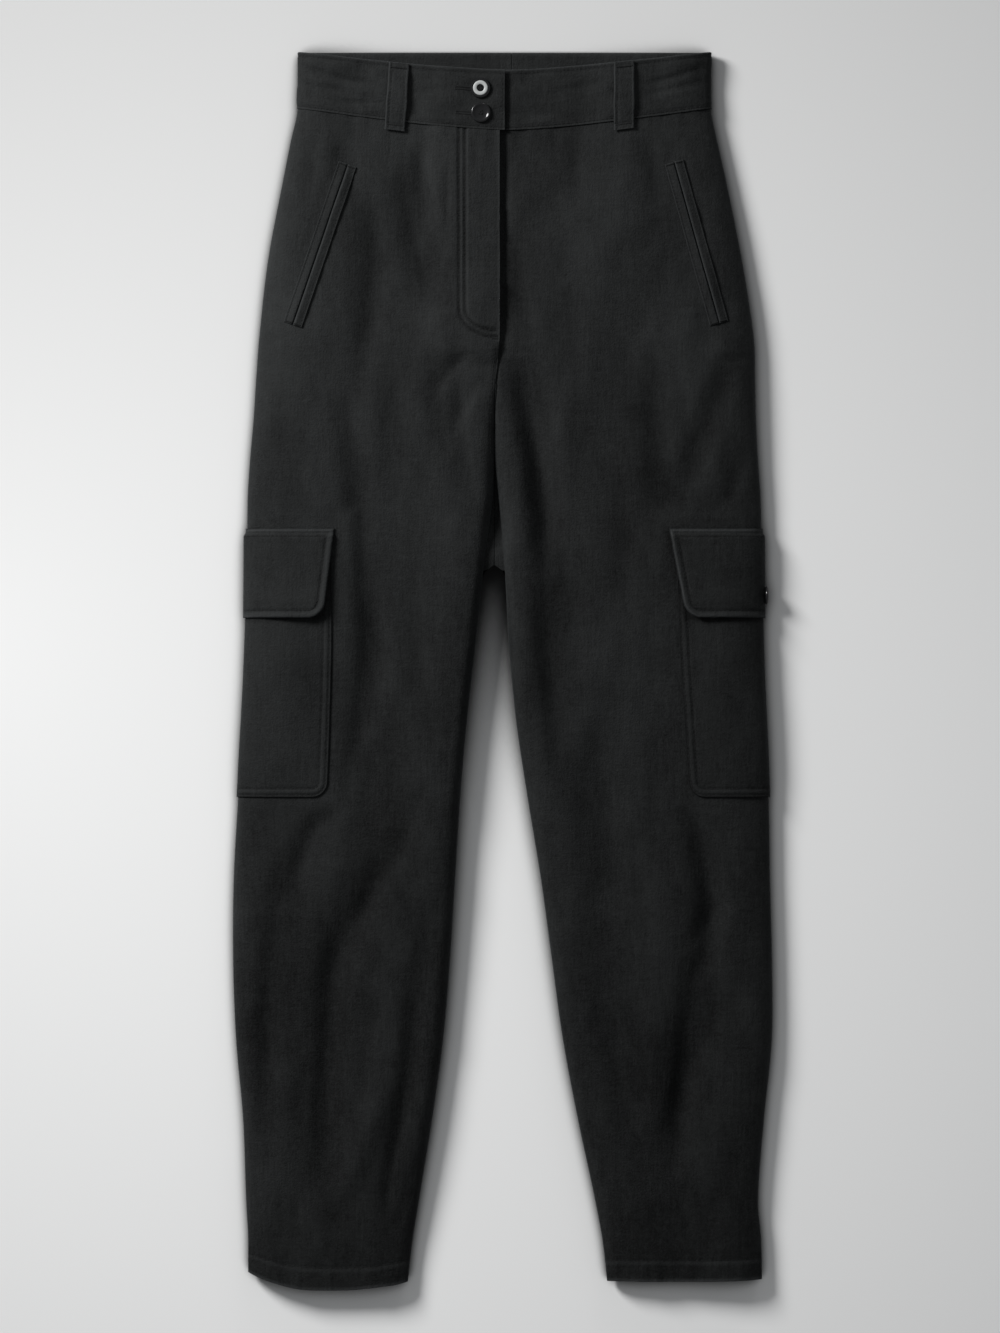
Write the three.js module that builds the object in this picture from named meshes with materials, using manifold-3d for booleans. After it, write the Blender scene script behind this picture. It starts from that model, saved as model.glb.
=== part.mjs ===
// Cargo trousers in black cotton twill, laid flat with the front up.
// X runs across the garment (the wearer's left is +X), Y from hems to waist, Z up from the surface.
// Every cloth piece is a thin wall. The back panels lie on the surface, the front panels arch a
// little over them, and both meet at seams along the side folds and the inner folds. These lie at one
// height, apart from the inner ones, which are lifted towards the fork.
import * as THREE from 'three';
import { mergeVertices } from 'three/addons/utils/BufferGeometryUtils.js';
import Module from 'manifold-3d';

const wasm = await Module();
wasm.setup();

// Driving sizes, in millimetres
const CLOTH = 1.2; // one layer of twill
const BAND_CLOTH = 2.4; // a waistband is two layers and an interlining
const PATCH_CLOTH = 1.2; // cargo bags and flaps
const LOOP_CLOTH = 1.4;
const SEAM_GAP = 0.3; // between two pieces that are sewn together
const SEAM_Z = 8; // height of the side seams and inseams
const HEM_TURN = 21; // turned-up hem, where the wall is doubled
const WAIST_Y = 994.2; // waist seam at the sides
const TOP_Y = 1042; // top edge of the waistband at the sides
const WAIST_MID_X = 3.8;
const WAIST_HALF = 173.5;
const FORK_Y = 609; // where the legs part
const ARCH = 9; // rounding of the fork in plan
const WAIST_DIP_POWER = 1.4; // how pointed the dip of the waist line is
const HEM_POWER = 2.4; // how far out the hem's ends begin to turn up
const FLY_BOTTOM_Y = 799.8;
const FLY_CURVE = 16; // the lower end of the fly's extension is rounded over this height
const FLY_LIFT = 3; // the fly covers the zip and the extension below it
const FLY_RISE_X = { from: -68, to: -44 }; // where the front beside the fly rises to it
const FLY_RISE_BELOW = { from: 22, to: 4 }; // the same, below the fly's bottom
const FLY_WIDTH = 30;
const FRONT_ROUND = 40; // how far in from the outer fold the front reaches its full height
const INNER_ROUND = 32; // the same from the inner fold, which is steeper
const BACK_ROUND = 14;
const INNER_RISE_REACH = { from: 6, to: 90 }; // from the inner fold, where the lift of a leg fades
const VALLEY_LOW_Y = 655; // from here up the bottom of the valley above the fork isn't lifted

const CLOTH_COLOUR = 0x17191a;
const RIM_COLOUR = 0x8f9294;
const PLASTIC_COLOUR = 0x0c0c0d;

// Outline in plan, as signed distances from the fly edge. Where the legs are joined, inner is the
// edge of the valley between them, and from the fly's bottom up it is the centre seam itself.
const OUTLINE = {
  right: [
    { y: 0, outer: -211.9, inner: -77.4 },
    { y: 43, outer: -212, inner: -73.2 },
    { y: 77, outer: -213.6, inner: -68.1 },
    { y: 144, outer: -216.1, inner: -57.2 },
    { y: 211, outer: -222, inner: -47.9 },
    { y: 278, outer: -224.5, inner: -42.1 },
    { y: 346, outer: -224, inner: -37.8 },
    { y: 413, outer: -220.4, inner: -33.6 },
    { y: 480, outer: -216.4, inner: -27.8 },
    { y: 548, outer: -213.4, inner: -20.2 },
    { y: 609, outer: -212.6, inner: -13.5 },
    { y: 665, outer: -212.3, inner: -5.9 },
    { y: 699, outer: -210.3, inner: -4.6 },
    { y: 733, outer: -207.3, inner: -4.6 },
    { y: 766, outer: -205.2, inner: -3.4 },
    { y: 800, outer: -202.7, inner: -0.4 },
    { y: 867, outer: -195.1, inner: 0 },
    { y: 934, outer: -182.5, inner: 0 },
    { y: 968, outer: -175.8, inner: 0 },
    { y: 994, outer: -170.2, inner: 0 },
    { y: 1042, outer: -169.5, inner: 0 },
  ],
  left: [
    { y: 0, outer: 220.5, inner: 90 },
    { y: 43, outer: 219.5, inner: 85.8 },
    { y: 77, outer: 217, inner: 79.9 },
    { y: 144, outer: 222, inner: 65.6 },
    { y: 211, outer: 228.6, inner: 53 },
    { y: 278, outer: 228.8, inner: 43.7 },
    { y: 346, outer: 227.1, inner: 34.5 },
    { y: 413, outer: 226, inner: 23.5 },
    { y: 480, outer: 223, inner: 13.5 },
    { y: 548, outer: 220.4, inner: 7.2 },
    { y: 609, outer: 219.8, inner: 3.8 },
    { y: 665, outer: 219.3, inner: -1.4 },
    { y: 699, outer: 217, inner: -4.6 },
    { y: 733, outer: 215.3, inner: -4.6 },
    { y: 766, outer: 214.5, inner: -3.4 },
    { y: 800, outer: 213.6, inner: -0.4 },
    { y: 867, outer: 203.5, inner: 0 },
    { y: 934, outer: 190.1, inner: 0 },
    { y: 968, outer: 182.5, inner: 0 },
    { y: 994, outer: 177.4, inner: 0 },
    { y: 1042, outer: 177.2, inner: 0 },
  ],
};

// Shape along the length: the centre seam's x and how far the seam of the back is off it, the crown
// of the front above the side seams, how far the valley between the legs has filled in on the front
// and on the back, and the dip of the waist at the front.
const LENGTHWISE = [
  { y: 0, centre: -4.6, backShift: 0, crown: 8.5, frontFill: 0, backFill: 0, dip: 0 },
  { y: 100, centre: -4.6, backShift: 0, crown: 10, frontFill: 0, backFill: 0, dip: 0 },
  { y: 300, centre: -4.6, backShift: 0, crown: 11.5, frontFill: 0, backFill: 0, dip: 0 },
  { y: 500, centre: -4.6, backShift: 0, crown: 12.5, frontFill: 0, backFill: 0, dip: 0 },
  { y: 609, centre: -4.6, backShift: 0, crown: 13, frontFill: 0, backFill: 0, dip: 0 },
  { y: 617, centre: -4.6, backShift: 0, crown: 13, frontFill: 0.14, backFill: 0.3, dip: 0 },
  { y: 640, centre: -4.6, backShift: 0, crown: 13, frontFill: 0.15, backFill: 0.7, dip: 0 },
  { y: 680, centre: -4.6, backShift: 0, crown: 12.5, frontFill: 0.17, backFill: 1, dip: 0 },
  { y: 725, centre: -4.6, backShift: 0, crown: 12.3, frontFill: 0.5, backFill: 1, dip: 0 },
  { y: 770, centre: -3.2, backShift: 0, crown: 12, frontFill: 1, backFill: 1, dip: 1 },
  { y: 800, centre: -0.4, backShift: 0.5, crown: 11.8, frontFill: 1, backFill: 1, dip: 2.5 },
  { y: 860, centre: 0, backShift: 2, crown: 11.4, frontFill: 1, backFill: 1, dip: 7 },
  { y: 930, centre: 0, backShift: 6, crown: 11, frontFill: 1, backFill: 1, dip: 14 },
  { y: 994, centre: 0, backShift: 9, crown: 11, frontFill: 1, backFill: 1, dip: 19 },
  { y: 1042, centre: 0, backShift: 10, crown: 11, frontFill: 1, backFill: 1, dip: 16 },
];

// How far each back panel is lifted off the surface by the pieces that lie beneath it: near the side
// seam by the cargo pocket (on the right leg also by its button), and at the waist by the belt loops
const UNDER_LIFT = {
  right: [
    { y: 0, pocket: 0, waist: 0 },
    { y: 395, pocket: 0, waist: 0 },
    { y: 413, pocket: 1.5, waist: 0 },
    { y: 552, pocket: 1.5, waist: 0 },
    { y: 563, pocket: 3, waist: 0 },
    { y: 568, pocket: 3, waist: 0 },
    { y: 578, pocket: 5.5, waist: 0 },
    { y: 596, pocket: 5.5, waist: 0 },
    { y: 607, pocket: 3, waist: 0 },
    { y: 644, pocket: 3, waist: 0 },
    { y: 668, pocket: 0, waist: 0 },
    { y: 968, pocket: 0, waist: 0 },
    { y: 984, pocket: 0, waist: 2.7 },
    { y: 1042, pocket: 0, waist: 2.7 },
  ],
  left: [
    { y: 0, pocket: 0, waist: 0 },
    { y: 395, pocket: 0, waist: 0 },
    { y: 413, pocket: 1.5, waist: 0 },
    { y: 552, pocket: 1.5, waist: 0 },
    { y: 563, pocket: 3, waist: 0 },
    { y: 644, pocket: 3, waist: 0 },
    { y: 668, pocket: 0, waist: 0 },
    { y: 968, pocket: 0, waist: 0 },
    { y: 984, pocket: 0, waist: 2.7 },
    { y: 1042, pocket: 0, waist: 2.7 },
  ],
};
const POCKET_LIFT_FULL = 88; // plan distance from the side seam to which the pocket lifts the back
const POCKET_LIFT_END = 126;

// Front hem line of each leg: its height at the outer edge, in the middle and at the inner edge
const HEM = {
  right: { outer: 16, middle: 0.8, inner: 8.4, back: 14 },
  left: { outer: 10, middle: 8.4, inner: 8.4, back: 12 },
};
const HEM_FADE = 70;

// How far the inner fold of each leg is lifted by the cloth that bunches towards the fork
const INNER_RISE = [
  { y: 0, rise: 0 },
  { y: 22, rise: 0 },
  { y: 160, rise: 1.6 },
  { y: 330, rise: 4 },
  { y: 430, rise: 5.5 },
  { y: 600, rise: 6.5 },
  { y: 618, rise: 6.5 },
  { y: 640, rise: 5.5 },
  { y: 690, rise: 3 },
  { y: 760, rise: 0 },
];

// Folds of the front: each runs from y0 to y1 along x0, xm, x1, with a negative depth for a trough
const FOLD_POWER = 0.8; // how soon a fold reaches its depth from its ends
const FOLDS = [
  { name: 'beside_fly', y0: 964, y1: 825, x0: -80, xm: -61, x1: -42, width: 11, depth: -2.6 },
  { name: 'right_hip', y0: 926, y1: 724, x0: -108, xm: -109, x1: -130, width: 13, depth: -2.2 },
  { name: 'right_thigh_high', y0: 750, y1: 581, x0: -132, xm: -118, x1: -122, width: 12, depth: -2.6 },
  { name: 'right_thigh_low', y0: 632, y1: 463, x0: -118, xm: -108, x1: -116, width: 12, depth: -3.2 },
  { name: 'right_knee', y0: 490, y1: 320, x0: -114, xm: -148, x1: -177, width: 14, depth: -3 },
  { name: 'right_shin_outer', y0: 355, y1: 90, x0: -184, xm: -195, x1: -194, width: 10, depth: -2.6 },
  { name: 'right_shin_middle', y0: 352, y1: 80, x0: -128, xm: -143, x1: -145, width: 13, depth: -4.8 },
  { name: 'right_knee_inner', y0: 390, y1: 240, x0: -82, xm: -118, x1: -150, width: 12, depth: -2.2 },
  { name: 'right_shin_ridge', y0: 190, y1: 80, x0: -88, xm: -110, x1: -128, width: 12, depth: 2.2 },
  { name: 'right_calf_inner', y0: 330, y1: 50, x0: -58, xm: -76, x1: -94, width: 9, depth: -2.8 },
  { name: 'crotch_deep', y0: 785, y1: 600, x0: 15, xm: 31, x1: 39, width: 11, depth: -5 },
  { name: 'left_thigh_inner', y0: 625, y1: 410, x0: 38, xm: 42, x1: 57, width: 11, depth: -3.8 },
  { name: 'left_thigh_front', y0: 800, y1: 640, x0: 130, xm: 132, x1: 136, width: 13, depth: -2.4 },
  { name: 'left_hip_diagonal', y0: 790, y1: 650, x0: 196, xm: 172, x1: 146, width: 12, depth: -2.2 },
  { name: 'left_knee', y0: 410, y1: 258, x0: 154, xm: 176, x1: 166, width: 11, depth: -4.6 },
  { name: 'left_shin', y0: 285, y1: 96, x0: 167, xm: 155, x1: 146, width: 12, depth: -3.8 },
  { name: 'left_knee_inner', y0: 485, y1: 320, x0: 80, xm: 85, x1: 102, width: 13, depth: -2.2 },
  { name: 'left_shin_ridge', y0: 340, y1: 120, x0: 118, xm: 124, x1: 130, width: 16, depth: 2 },
];

// Cargo pocket of each leg, measured along the cloth from the side seam: front reach of the bag and
// of the flap at the top and the bottom, and the reach onto the back
const POCKET = {
  right: { bagTop: 75, bagBottom: 79, flapTop: 78, flapBottom: 69, back: 68 },
  left: { bagTop: 76, bagBottom: 71, flapTop: 82, flapBottom: 68, back: 68 },
};
const BAG_LOW_Y = 415.4;
const BAG_HIGH_Y = 634;
const FLAP_LOW_Y = 566;
const FLAP_HIGH_Y = 641;
const POCKET_CORNER = 13;
const FLAP_PAST_BAG = 4; // on the back
const FLAP_STEP = 0.8; // over this height above the bag the flap comes down to the panel
const FOLD_FREE = 82; // the front is smooth under the pocket, as far in as this
const FOLD_FREE_MARGIN = 18;
const FOLD_FREE_PAST = 4; // and this far past the pocket's lower and upper edges

// Slanted welt pockets: the two ends of each slit
const WELT_POCKET = {
  right: { top: { x: -128, y: 947 }, bottom: { x: -174, y: 812 } },
  left: { top: { x: 146, y: 949 }, bottom: { x: 184, y: 813 } },
};
const WELT_WIDTH = 7.6;
const WELT_CLOTH = 1;
const SLIT = 0.8;

const LOOP_WIDTH = 17;
const LOOP_TAIL = 8; // how far a belt loop reaches below the waist seam
const LOOPS = [
  { name: 'loop_front_right', face: 'front', top: -84.5, bottom: -88.5 },
  { name: 'loop_front_left', face: 'front', top: 104, bottom: 104 },
  { name: 'loop_back_right', face: 'back', top: -94, bottom: -94 },
  { name: 'loop_back_centre', face: 'back', top: 10, bottom: 10 },
  { name: 'loop_back_left', face: 'back', top: 106, bottom: 106 },
];

const BAND_STAND = 0.9; // the band stands this much above the panels it is sewn to
const BAND_OVERLAP = 4.2; // the right end of the band passes the fly edge
const BAND_UNDERLAP = 31; // the left end lies under the right one

const BUTTON_RADIUS = 8.5;
const BUTTON_HEIGHT = 3;
const CARGO_BUTTON_RADIUS = 7.5;
const CARGO_BUTTON_HEIGHT = 2.2;
const WAIST_BUTTONS = { upper: { x: -16.4, y: 1010.4 }, lower: { x: -16, y: 989.8 } };
const CARGO_BUTTON_Y = { right: 587, left: 585 };
const CARGO_BUTTON_BACK = 20; // from the side seam, on the back of the right leg
const CARGO_BUTTON_Z = 9.6; // height of the left one, which faces outwards at the side fold

const ZIP_WIDTH = 22;
const ZIP_MID_X = -14;
const ZIP_CLOTH = 1.2;
const ZIP_ABOVE_BOTTOM = 6; // from the fly's bottom to the zip's
const ZIP_BELOW_BAND = 3;

// Grid of a body panel: distances from the outer and inner edges, and the columns between them
const EDGE_COLUMNS = [0, 0.8, 3, 8, 16, 28];
const MIDDLE_COLUMNS = 5;
const FRONT_STEP = 36; // between two rows of a panel
const BACK_STEP = 50;

// Smooth curve through a table's column, with each row's slope taken from its neighbours
function curve(rows, key) {
  const slope = rows.map((row, i) => {
    const before = rows[Math.max(i - 1, 0)];
    const after = rows[Math.min(i + 1, rows.length - 1)];
    return (after[key] - before[key]) / (after.y - before.y);
  });
  return (y) => {
    let i = 0;
    while (i < rows.length - 2 && y > rows[i + 1].y) i += 1;
    const a = rows[i];
    const b = rows[i + 1];
    const h = b.y - a.y;
    const t = THREE.MathUtils.clamp((y - a.y) / h, 0, 1);
    const u = 1 - t;
    return (
      a[key] * (1 + 2 * t) * u * u +
      b[key] * t * t * (3 - 2 * t) +
      h * t * u * (slope[i] * u - slope[i + 1] * t)
    );
  };
}

// Straight lines through a table's column
function steps(rows, key) {
  return (y) => {
    let i = 0;
    while (i < rows.length - 2 && y > rows[i + 1].y) i += 1;
    const t = THREE.MathUtils.clamp((y - rows[i].y) / (rows[i + 1].y - rows[i].y), 0, 1);
    return THREE.MathUtils.lerp(rows[i][key], rows[i + 1][key], t);
  };
}

const outerX = { right: curve(OUTLINE.right, 'outer'), left: curve(OUTLINE.left, 'outer') };
const innerX = { right: curve(OUTLINE.right, 'inner'), left: curve(OUTLINE.left, 'inner') };
const centreX = curve(LENGTHWISE, 'centre');
const crown = curve(LENGTHWISE, 'crown');
const frontFill = steps(LENGTHWISE, 'frontFill');
const backFill = steps(LENGTHWISE, 'backFill');
const backShift = curve(LENGTHWISE, 'backShift');
const dip = curve(LENGTHWISE, 'dip');
const pocketLift = { right: steps(UNDER_LIFT.right, 'pocket'), left: steps(UNDER_LIFT.left, 'pocket') };
const waistLift = steps(UNDER_LIFT.right, 'waist');
const innerRise = steps(INNER_RISE, 'rise');
const toCentre = { right: 1, left: -1 }; // direction from a side seam towards the middle

// Share of the full height at a distance from a fold, rising as a quarter of an ellipse
function rounded(distance, reach) {
  const t = THREE.MathUtils.clamp(1 - distance / reach, 0, 1);
  return Math.sqrt(1 - t * t);
}

function fade(value, from, to) {
  return THREE.MathUtils.smoothstep(value, from, to);
}

// How much the waist line has sunk at this x: most at the middle, nothing at the sides
function waistDip(x, y) {
  const t = Math.min(Math.abs(x - WAIST_MID_X) / WAIST_HALF, 1);
  return dip(y) * (1 - t ** WAIST_DIP_POWER);
}

function foldHeight(x, y) {
  let sum = 0;
  for (const fold of FOLDS) {
    const t = (y - fold.y0) / (fold.y1 - fold.y0);
    if (t <= 0 || t >= 1) continue;
    const u = 1 - t;
    const middle = 2 * fold.xm - (fold.x0 + fold.x1) / 2;
    const x0 = fold.x0 * u * u + middle * 2 * t * u + fold.x1 * t * t;
    const strength = Math.sin(Math.PI * t) ** FOLD_POWER;
    sum += fold.depth * strength * Math.exp(-(((x - x0) / fold.width) ** 2));
  }
  return sum;
}

// The fly stands higher than the front beside it, because the zip and an extension lie below it
function flyLift(x, y) {
  const beside = fade(x, FLY_RISE_X.from, FLY_RISE_X.to);
  const below = fade(y, FLY_BOTTOM_Y - FLY_RISE_BELOW.from, FLY_BOTTOM_Y - FLY_RISE_BELOW.to);
  return FLY_LIFT * beside * below;
}

// Height of a leg's seams at this distance from the inner fold. Above the fork the bottom of the
// valley between the legs stays low.
function seamHeight(y, dInner) {
  const { from, to } = INNER_RISE_REACH;
  const near = (1 - THREE.MathUtils.clamp((dInner - from) / (to - from), 0, 1)) ** 2;
  const joined = fade(y, FORK_Y, VALLEY_LOW_Y);
  const valley = THREE.MathUtils.lerp(1, rounded(dInner, BACK_ROUND), joined);
  return SEAM_Z + innerRise(y) * near * valley;
}

// Share of the folds that is left beside and under a cargo pocket
function foldShare(y, dOuter) {
  const beside = fade(dOuter, FOLD_FREE, FOLD_FREE + FOLD_FREE_MARGIN);
  const below = fade(BAG_LOW_Y - FOLD_FREE_PAST - y, 0, FOLD_FREE_MARGIN);
  const above = fade(y - FLAP_HIGH_Y - FOLD_FREE_PAST, 0, FOLD_FREE_MARGIN);
  return Math.max(beside, below, above);
}

// Height of the front at a place given by its distances from the outer fold and the valley
function frontHeight(x, y, dOuter, dInner) {
  const valley = 1 - (1 - frontFill(y)) * (1 - rounded(dInner, INNER_ROUND));
  const cover = rounded(dOuter, FRONT_ROUND) * valley;
  const arch = (crown(y) + foldHeight(x, y) * foldShare(y, dOuter)) * cover;
  return seamHeight(y, dInner) + SEAM_GAP / 2 + arch;
}

function backHeight(side, y, dOuter, dInner) {
  const valley = 1 - (1 - backFill(y)) * (1 - rounded(dInner, BACK_ROUND));
  const cover = rounded(dOuter, BACK_ROUND) * valley;
  const seam = seamHeight(y, dInner) - SEAM_GAP / 2;
  const beside = 1 - fade(dOuter, POCKET_LIFT_FULL, POCKET_LIFT_END);
  const lift = waistLift(y) + pocketLift[side](y) * beside;
  return seam + (lift - seam) * cover;
}

// Distances from the outer and inner edges at column a, which may lie between two columns
const COLUMNS = EDGE_COLUMNS.length * 2 + MIDDLE_COLUMNS - 2;
function across(side, a, y, { reachPast = 0, shift = 0 } = {}) {
  const outer = outerX[side](y);
  const sign = toCentre[side];
  const edge = innerX[side](y) + shift + sign * (reachPast - (y > FORK_Y ? SEAM_GAP / 2 : 0));
  const width = Math.abs(edge - outer);
  const last = EDGE_COLUMNS.length - 1;
  const distance = (j) => {
    if (j <= last) return EDGE_COLUMNS[j];
    if (j >= COLUMNS - last) return width - EDGE_COLUMNS[COLUMNS - j];
    const reach = EDGE_COLUMNS[last];
    return reach + ((width - 2 * reach) * (j - last)) / (COLUMNS - 2 * last);
  };
  const j = Math.min(Math.floor(a), COLUMNS - 1);
  const dOuter = THREE.MathUtils.lerp(distance(j), distance(j + 1), a - j);
  let x = outer + sign * dOuter;
  // The last column follows the arch of the fork, and above it reaches the centre seam
  if (j === COLUMNS - 1 && reachPast === 0) {
    const q = THREE.MathUtils.clamp((y - FORK_Y + ARCH) / ARCH, 0, 1);
    const centre = centreX(y) + shift - (sign * SEAM_GAP) / 2;
    x += (a - j) * (centre - edge) * (1 - Math.sqrt(1 - q * q));
  }
  return { x, dOuter, dInner: width - dOuter, share: dOuter / width };
}

// The front's outer surface. Above the fly's bottom the left front reaches under the right one.
function flyReach(side, y) {
  if (y < FLY_BOTTOM_Y) return 0;
  if (side === 'right') return 0;
  return FLY_WIDTH * rounded(y - FLY_BOTTOM_Y, FLY_CURVE);
}

// Height of a leg's hem line at this share of its width
function hemLine(side, middle, share) {
  const end = share < 0.5 ? HEM[side].outer : HEM[side].inner;
  return middle + (end - middle) * (1 - 2 * Math.min(share, 1 - share)) ** HEM_POWER;
}

function frontSurface(side, reach = flyReach) {
  return (a, y) => {
    const p = across(side, a, y, { reachPast: reach(side, y) });
    const hemY = hemLine(side, HEM[side].middle, p.share) * (1 - fade(y, 0, HEM_FADE));
    const z = frontHeight(p.x, y, p.dOuter, p.dInner) + (side === 'right' ? flyLift(p.x, y) : 0);
    return new THREE.Vector3(p.x, y + hemY - waistDip(p.x, y), z);
  };
}

function backSurface(side) {
  return (a, y) => {
    const p = across(side, a, y, { shift: backShift(y) });
    const hemY = hemLine(side, HEM[side].back, p.share) * (1 - fade(y, 0, HEM_FADE));
    return new THREE.Vector3(p.x, y + hemY, backHeight(side, y, p.dOuter, p.dInner));
  };
}

// Front surface at a place in plan, for what lies on the hips: the dip is undone to find the row
function hipPoint(x, y) {
  let row = y;
  for (let i = 0; i < 6; i += 1) row = y + waistDip(x, row);
  const side = x < centreX(row) ? 'right' : 'left';
  const dOuter = Math.abs(outerX[side](row) - x);
  return new THREE.Vector3(x, y, frontHeight(x, row, dOuter, FRONT_ROUND));
}

// Half of the waistband: from its front end to the side fold, round it and on to the centre back
function bandSurface(side, reach) {
  const front = frontSurface(side, () => reach);
  const back = backSurface(side);
  return (a, y) => {
    if (a <= COLUMNS) return front(COLUMNS - a, y);
    if (a >= COLUMNS + 1) return back(a - COLUMNS - 1, y);
    return front(0, y).lerp(back(0, y), a - COLUMNS);
  };
}

// Belt loops: x across and the row of the band or panel behind
function loopSurface(loop) {
  return (a, row) => {
    const t = (row - WAIST_Y + LOOP_TAIL) / (TOP_Y - WAIST_Y + LOOP_TAIL);
    const x = THREE.MathUtils.lerp(loop.bottom, loop.top, t) + a;
    if (loop.face === 'back') return new THREE.Vector3(x, row, waistLift(row));
    const side = x < 0 ? 'right' : 'left';
    const z = frontHeight(x, row, Math.abs(outerX[side](row) - x), FRONT_ROUND);
    return new THREE.Vector3(x, row - waistDip(x, row), z);
  };
}

// Point of a leg's ring at a distance along the cloth from the side seam: onto the front where it is
// positive, onto the back where it is negative
const RING_REACH = 100;
const RING_SAMPLES = 80;
function ringSurface(side) {
  return (distance, y) => {
    const onFront = distance >= 0;
    const outer = outerX[side](y);
    const height = (d) => {
      const x = outer + toCentre[side] * d;
      return onFront ? frontHeight(x, y, d, RING_REACH) : backHeight(side, y, d, RING_REACH);
    };
    const goal = Math.abs(distance);
    let walked = 0;
    let d = 0;
    let z = height(0);
    for (let k = 1; k <= RING_SAMPLES; k += 1) {
      const nextD = RING_REACH * (k / RING_SAMPLES) ** 2.5;
      const nextZ = height(nextD);
      const step = Math.hypot(nextD - d, nextZ - z);
      if (walked + step >= goal) {
        const t = (goal - walked) / step;
        d += (nextD - d) * t;
        z += (nextZ - z) * t;
        break;
      }
      walked += step;
      d = nextD;
      z = nextZ;
    }
    return new THREE.Vector3(outer + toCentre[side] * d, y, z);
  };
}

// Outward direction of a surface at (a, b), from small steps that stay inside its ranges
function normalAt(surface, a, b, aRange, bRange, flip) {
  const step = 0.02;
  const a0 = Math.max(a - step, aRange[0]);
  const a1 = Math.min(a + step, aRange[1]);
  const b0 = Math.max(b - step, bRange[0]);
  const b1 = Math.min(b + step, bRange[1]);
  const along = surface(a1, b).sub(surface(a0, b));
  const up = surface(a, b1).sub(surface(a, b0));
  return along.cross(up).normalize().multiplyScalar(flip ? -1 : 1);
}

// A closed wall over a grid of surface points. lift is how far its inner face stands off the
// surface, thick how much further out its outer face is, and floor and ceiling keep it on its side
// of a seam; all may change over the grid.
function wall({ as, bs, surface, lift, thick, flip = false, floor = -Infinity, ceiling = Infinity }) {
  const aRange = [as[0], as[as.length - 1]];
  const bRange = [bs[0], bs[bs.length - 1]];
  const value = (v, i, j) => (typeof v === 'function' ? v(i, j) : v);
  const points = [];
  for (const face of ['outer', 'inner']) {
    bs.forEach((b, j) => {
      as.forEach((a, i) => {
        const base = surface(a, b);
        const n = normalAt(surface, a, b, aRange, bRange, flip);
        const offset = value(lift, i, j) + (face === 'outer' ? value(thick, i, j) : 0);
        base.addScaledVector(n, offset);
        base.z = THREE.MathUtils.clamp(base.z, value(floor, i, j), value(ceiling, i, j));
        points.push(base);
      });
    });
  }
  const columns = as.length;
  const rows = bs.length;
  const at = (face, i, j) => face * columns * rows + j * columns + i;
  const index = [];
  const quad = (p, q, r, s) => {
    const corners = flip ? [p, r, q, p, s, r] : [p, q, r, p, r, s];
    index.push(...corners);
  };
  for (let j = 0; j < rows - 1; j += 1) {
    for (let i = 0; i < columns - 1; i += 1) {
      quad(at(0, i, j), at(0, i + 1, j), at(0, i + 1, j + 1), at(0, i, j + 1));
      quad(at(1, i, j), at(1, i, j + 1), at(1, i + 1, j + 1), at(1, i + 1, j));
    }
    quad(at(0, 0, j), at(0, 0, j + 1), at(1, 0, j + 1), at(1, 0, j));
    const i = columns - 1;
    quad(at(0, i, j), at(1, i, j), at(1, i, j + 1), at(0, i, j + 1));
  }
  for (let i = 0; i < columns - 1; i += 1) {
    quad(at(0, i, 0), at(1, i, 0), at(1, i + 1, 0), at(0, i + 1, 0));
    const j = rows - 1;
    quad(at(0, i, j), at(0, i + 1, j), at(1, i + 1, j), at(1, i, j));
  }
  const geometry = new THREE.BufferGeometry();
  geometry.setAttribute('position', new THREE.Float32BufferAttribute(points.flatMap((p) => p.toArray()), 3));
  geometry.setIndex(index);
  geometry.computeVertexNormals();
  return geometry;
}

const garment = new THREE.Group();

function add(name, geometry, { colour = CLOTH_COLOUR, roughness = 0.95, metalness = 0 } = {}) {
  const material = new THREE.MeshStandardMaterial({ color: colour, roughness, metalness });
  const mesh = new THREE.Mesh(geometry, material);
  mesh.name = name;
  garment.add(mesh);
}

// Rows of a body panel, closer together at the hem, at the fork and where the back steps up
function stations(extra, step) {
  const fixed = [0, HEM_TURN, HEM_TURN + 1, WAIST_Y - SEAM_GAP / 2, ...extra].sort((p, q) => p - q);
  const rows = [];
  fixed.forEach((y, i) => {
    rows.push(y);
    if (i === fixed.length - 1) return;
    const gap = fixed[i + 1] - y;
    const parts = Math.round(gap / step);
    for (let k = 1; k < parts; k += 1) rows.push(y + (gap * k) / parts);
  });
  return rows;
}

const FORK_ROWS = [-ARCH, -5, -2, 0, 3, 9].map((above) => FORK_Y + above);
const FLY_ROWS = [0, FLY_CURVE / 4, FLY_CURVE].map((above) => FLY_BOTTOM_Y + above);
const FRONT_ROWS = stations([...FORK_ROWS, ...FLY_ROWS], FRONT_STEP);

function range(count) {
  return Array.from({ length: count + 1 }, (_, i) => i);
}

// A turned hem is two layers thick
function panelThickness(rows) {
  return (i, j) => (rows[j] <= HEM_TURN ? CLOTH * 2 : CLOTH);
}

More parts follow.
